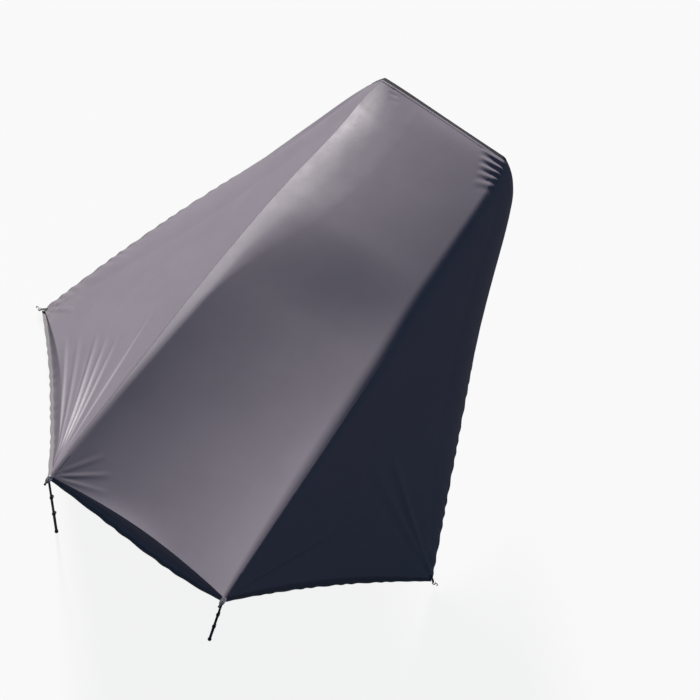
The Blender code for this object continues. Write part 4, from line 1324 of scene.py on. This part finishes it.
    def collar(self) -> None:
        """The casing on the cloth's front margin, its binding and the elastic cord: the casing is flat with
        round edges, and its gathers are ripples of the ruffle's pitch, which die out at both edges. The
        binding is black partly as painted shade: it stands for the shadow gap along the roof's edge as well
        as for a real bound edge."""
        path = self.cloth.points[0]
        walked = run_lengths(path)
        at = np.linspace(0, walked[-1], int(walked[-1] / 0.0024))
        along = at_lengths(unit(np.gradient(path, axis=0)), walked, at)
        shares = np.linspace(0, 1, 9)
        behind = self.collar_back + self.casing_lap - (self.casing_width + self.casing_lap) * shares
        depth = run_lengths(self.cloth.points, 0).mean(axis=1)
        lines, lifts = [], []
        for spot in behind:
            row, part = divmod(float(np.interp(spot, depth, np.arange(len(depth)))), 1.0)
            for kept, grid in ((lines, self.cloth.points), (lifts, self.cloth.normals)):
                kept.append(at_lengths(grid[int(row)] * (1 - part) + grid[int(row) + 1] * part, walked, at))
        line, lift = np.stack(lines, 1), unit(np.stack(lifts, 1))
        gathers = uneven(at, self.ruffle_pitch, 1.7, 0.083)
        ripple = self.ruffle * gathers[:, None] * np.sin(math.pi * shares)[None] ** 0.5
        rise = self.casing_thick * np.sqrt(np.clip(1 - (2 * shares - 1) ** 8, 0, 1))[None] + ripple
        base = self.cloth.thick / 2
        upper = line + lift * (base + rise)[..., None]
        rings = np.concatenate([upper, line[:, -2:0:-1]], axis=1)
        casing = self.wardrobe.dress(swept("front_collar_casing", rings), node="front_collar")
        edge, face = line[:, -1], lift[:, -1]
        forward = unit(np.cross(face, along))
        forward *= -np.sign(forward[:, 1:2])
        # The binding's black is partly painted shade: with the cord it makes the dark line that stands for
        # the shadow gap at the roof's edge.
        wide = self.collar_width - self.casing_width + 0.003
        binding = ribbon("collar_binding", edge + forward * (wide - 0.003) / 2 + face * 0.0016, forward,
                         band_section(wide, 0.0034))
        ahead = self.collar_width - self.casing_width + self.cord_radius + 0.0006
        cord = ribbon("collar_cord", edge + forward * ahead + face * (self.cord_radius - 0.0015), forward,
                      round_section(self.cord_radius))
        extras = [self.wardrobe.dress(binding, "elastic"),
                  self.wardrobe.dress(cord, "elastic", "collar_elastic"),
                  self.sewn("collar_stitches", line[:, 1] + lift[:, 1] * (base + 0.0022), lift[:, 1])]

    def doubled(self, name: str, grid: Array, normals: Array, side: Side, node: str = "",
                lift: float = 0.0) -> None:
        """A second cloth on a grid of the left, brought to its own side.

        Args:
            name: The piece's name.
            grid: Its middle, rows by columns by 3.
            normals: Its normals.
            side: Where it belongs.
            node: The frame's node that it replaces, if any.
            lift: How far it stands off the grid.
        """
        if side is Side.RIGHT:
            grid, normals = mirrored(grid), mirrored(normals)
        self.wardrobe.dress(cloth_sheet(name, grid, normals, self.patch_thick, lift), node=node)

    def corner_patches(self) -> None:
        """The doubled and sewn cloth at the pole corners, with the tongues, and at the wing corners."""
        lift = (self.cloth.thick + self.patch_thick) / 2
        inset = 3
        for side in Side:
            points, normals, seam = self.cloth.side_view(side)
            walked = run_lengths(points[-20:-19], 1)[0]
            for corner, (wide, long), away in (("pole", self.pole_patch, np.abs(walked - walked[seam])),
                                               ("wing", self.wing_patch, walked[-1] - walked)):
                first = int(np.searchsorted(self.cloth.v, 1 - long / self.cloth.form.corner_back))
                grid, faces = points[first:, away < wide], normals[first:, away < wide]
                name = f"{side.word}_{corner}_doubling"
                self.doubled(name, grid, faces, side, f"{side.word}_{corner}_patch", lift)
                rows = [(grid[inset:, k], faces[inset:, k]) for k in (2, -3)] + [(grid[2], faces[2])]
                for k, (line, face) in enumerate(rows):
                    row = line + face * (lift + self.patch_thick / 2)
                    self.sewn(f"{name}_stitches_{k + 1}", row, face, side.turn)
                if corner == "pole":
                    self.tongue(side, grid[-1])

    def tongue(self, side: Side, edge: Array) -> None:
        """The flat tongue with the grommet's hole: a ring from the hole to an outline of straight sides with
        round corners, and a throat that joins it to the corner's cloth. The outline's reach in a direction is
        the rounded least of its sides' distances, each over the cosine to its side: the sum of their inverses
        to the twelfth power, to the power of minus a twelfth.

        Args:
            side: Which corner.
            edge: The doubled cloth's last row, as on the left.
        """
        low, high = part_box(f"{side.word}_pole_grommet")
        middle = (np.array(low) + np.array(high)) / 2 * side.turn
        angles = np.linspace(0, 2 * math.pi, 49)[:-1]
        ways = np.stack([np.cos(angles), np.sin(angles), 0 * angles], -1)
        slant = unit(np.array([0.020, 0.010, 0.0]))
        right = np.array([1.0, 0.0, 0.0])
        wide, long, cut = 0.022, 0.034, 0.026
        sides = [(right, wide), (-right, wide), (-BACK, wide), (BACK, long), (slant, cut),
                 (slant * ACROSS, cut)]
        inverse = sum(np.maximum(ways @ normal / reach, 0) ** 12 for normal, reach in sides)
        outline = inverse ** (-1 / 12)
        hole = 0.0088
        reach = hole + (outline[None] - hole) * np.linspace(0, 1, 7)[:, None]
        grid = middle + reach[..., None] * ways[None]
        self.wardrobe.dress(cloth_sheet(f"{side.word}_pole_tongue", grid * side.turn,
                                        np.broadcast_to(UP, grid.shape), self.tongue_thick, wrap=True))
        far = middle + np.stack([np.linspace(-wide, wide, len(edge)), np.full(len(edge), -0.017),
                                 np.full(len(edge), -0.0012)], -1)
        b = np.linspace(0, 1, 9)[:, None, None]
        start = edge + UP * 0.0016
        bend = (start + far) / 2 * ACROSS**2 + UP * 0.004
        throat = curve(b, start, bend, far)
        self.doubled(f"{side.word}_pole_throat", throat, grid_normals(throat), side)

    def build(self) -> None:
        """Sews the whole canopy."""
        self.panels()
        self.drops()
        self.collar()
        self.corner_patches()


@dataclass
class Studio:
    """The floor, the lamp, the white surroundings and the camera at the photograph's angle."""

    ground: float = -1.75
    lens: float = 91.68
    eye: tuple[float, float, float] = (-1.550, 7.152, 14.38)
    pan: float = -143.74
    tilt: float = 17.45
    roll: float = -7.52
    key_from: tuple[float, float] = (0.682, -0.731)
    key_height: float = 16.5
    key_strength: float = 6.6
    key_softness: float = 10.0
    fill: float = 0.14

    def camera(self) -> None:
        """A camera where the photograph was taken, looking down on the awning over its rear edge."""
        data = bpy.data.cameras.new("camera")
        data.lens = self.lens
        data.clip_end = 100.0
        camera = placed("camera", data)
        turns = [Matrix.Rotation(math.radians(angle), 4, axis)
                 for angle, axis in ((self.pan, "Z"), (self.tilt, "X"), (self.roll, "Y"))]
        camera.matrix_world = Matrix.Translation(self.eye) @ turns[0] @ turns[1] @ turns[2]
        bpy.context.scene.camera = camera

    def lamp(self) -> None:
        """One soft key light, low over the canopy from its front left."""
        data = bpy.data.lights.new("key", "SUN")
        data.energy = self.key_strength
        data.angle = math.radians(self.key_softness)
        data.color = (1.0, 0.93, 0.92)
        key = placed("key", data)
        height = math.radians(self.key_height)
        toward = Vector((*(way * math.cos(height) for way in self.key_from), math.sin(height)))
        key.rotation_mode = "QUATERNION"
        key.rotation_quaternion = toward.to_track_quat("Z", "Y")

    def over_white(self, graph: Graph, kind: str, share: Value, under: Socket, output: Node) -> None:
        """Lays plain white light over a surface.

        Args:
            graph: The tree's graph.
            kind: The node that gives the white.
            share: How much of it shows.
            under: The surface's own shader.
            output: The tree's output node.
        """
        white = graph.add(kind, {"Color": (1.0, 1.0, 1.0, 1.0), "Strength": 1.0}).outputs[0]
        mix = graph.add("MixShader", {0: share, 1: under, 2: white})
        graph.fill(output, {"Surface": mix.outputs[0]})

    def surroundings(self) -> None:
        """White where the camera looks past the awning, a share of it in a gloss, and a weak cool light
        elsewhere."""
        world = bpy.data.worlds.new("studio")
        bpy.context.scene.world = world
        world.use_nodes = True
        nodes, graph = world.node_tree.nodes, Graph(world.node_tree)
        graph.fill(nodes["Background"], {"Color": (0.29, 0.51, 0.98, 1.0), "Strength": self.fill})
        path = graph.add("LightPath").outputs
        clear = graph.times(graph.maths("MAXIMUM", path["Is Glossy Ray"], path["Is Transmission Ray"]), 0.15)
        seen = graph.maths("MAXIMUM", path["Is Camera Ray"], clear)
        self.over_white(graph, "Background", seen, nodes["Background"].outputs[0], nodes["World Output"])

    def floor(self) -> None:
        """A wide pale floor at the ground, white to the camera but for the awning's own faint shadow."""
        material, graph, shader = new_material("floor")
        seen = graph.add("LightPath").outputs["Is Camera Ray"]
        pale = graph.mix(seen, (0.16, 0.16, 0.16, 1.0), (0.9, 0.9, 0.9, 1.0))
        graph.fill(shader, {"Base Color": pale, "Roughness": 0.9})
        self.over_white(graph, "Emission", graph.times(seen, 0.88), shader.outputs[0],
                        material.node_tree.nodes["Material Output"])
        corners = 60.0 * np.array([[-1, -1, 0], [1, -1, 0], [1, 1, 0], [-1, 1, 0]])
        piece = make_mesh("floor", corners + UP * self.ground, [np.array([[0, 1, 2, 3]])], closed=False)
        piece.data.materials.append(material)

    def build(self) -> None:
        """Sets up the whole studio."""
        bpy.context.scene.view_settings.view_transform = "Standard"
        self.camera()
        self.lamp()
        self.surroundings()
        self.floor()


def main() -> None:
    """Builds the studio and the awning in order."""
    logging.basicConfig(level=logging.INFO, format="%(name)s: %(message)s")
    Studio().build()
    wardrobe = Wardrobe()
    wardrobe.dress_nodes()
    Tailoring(CanopyCloth(CanopyForm()), wardrobe).build()


if __name__ == "__main__":
    main()
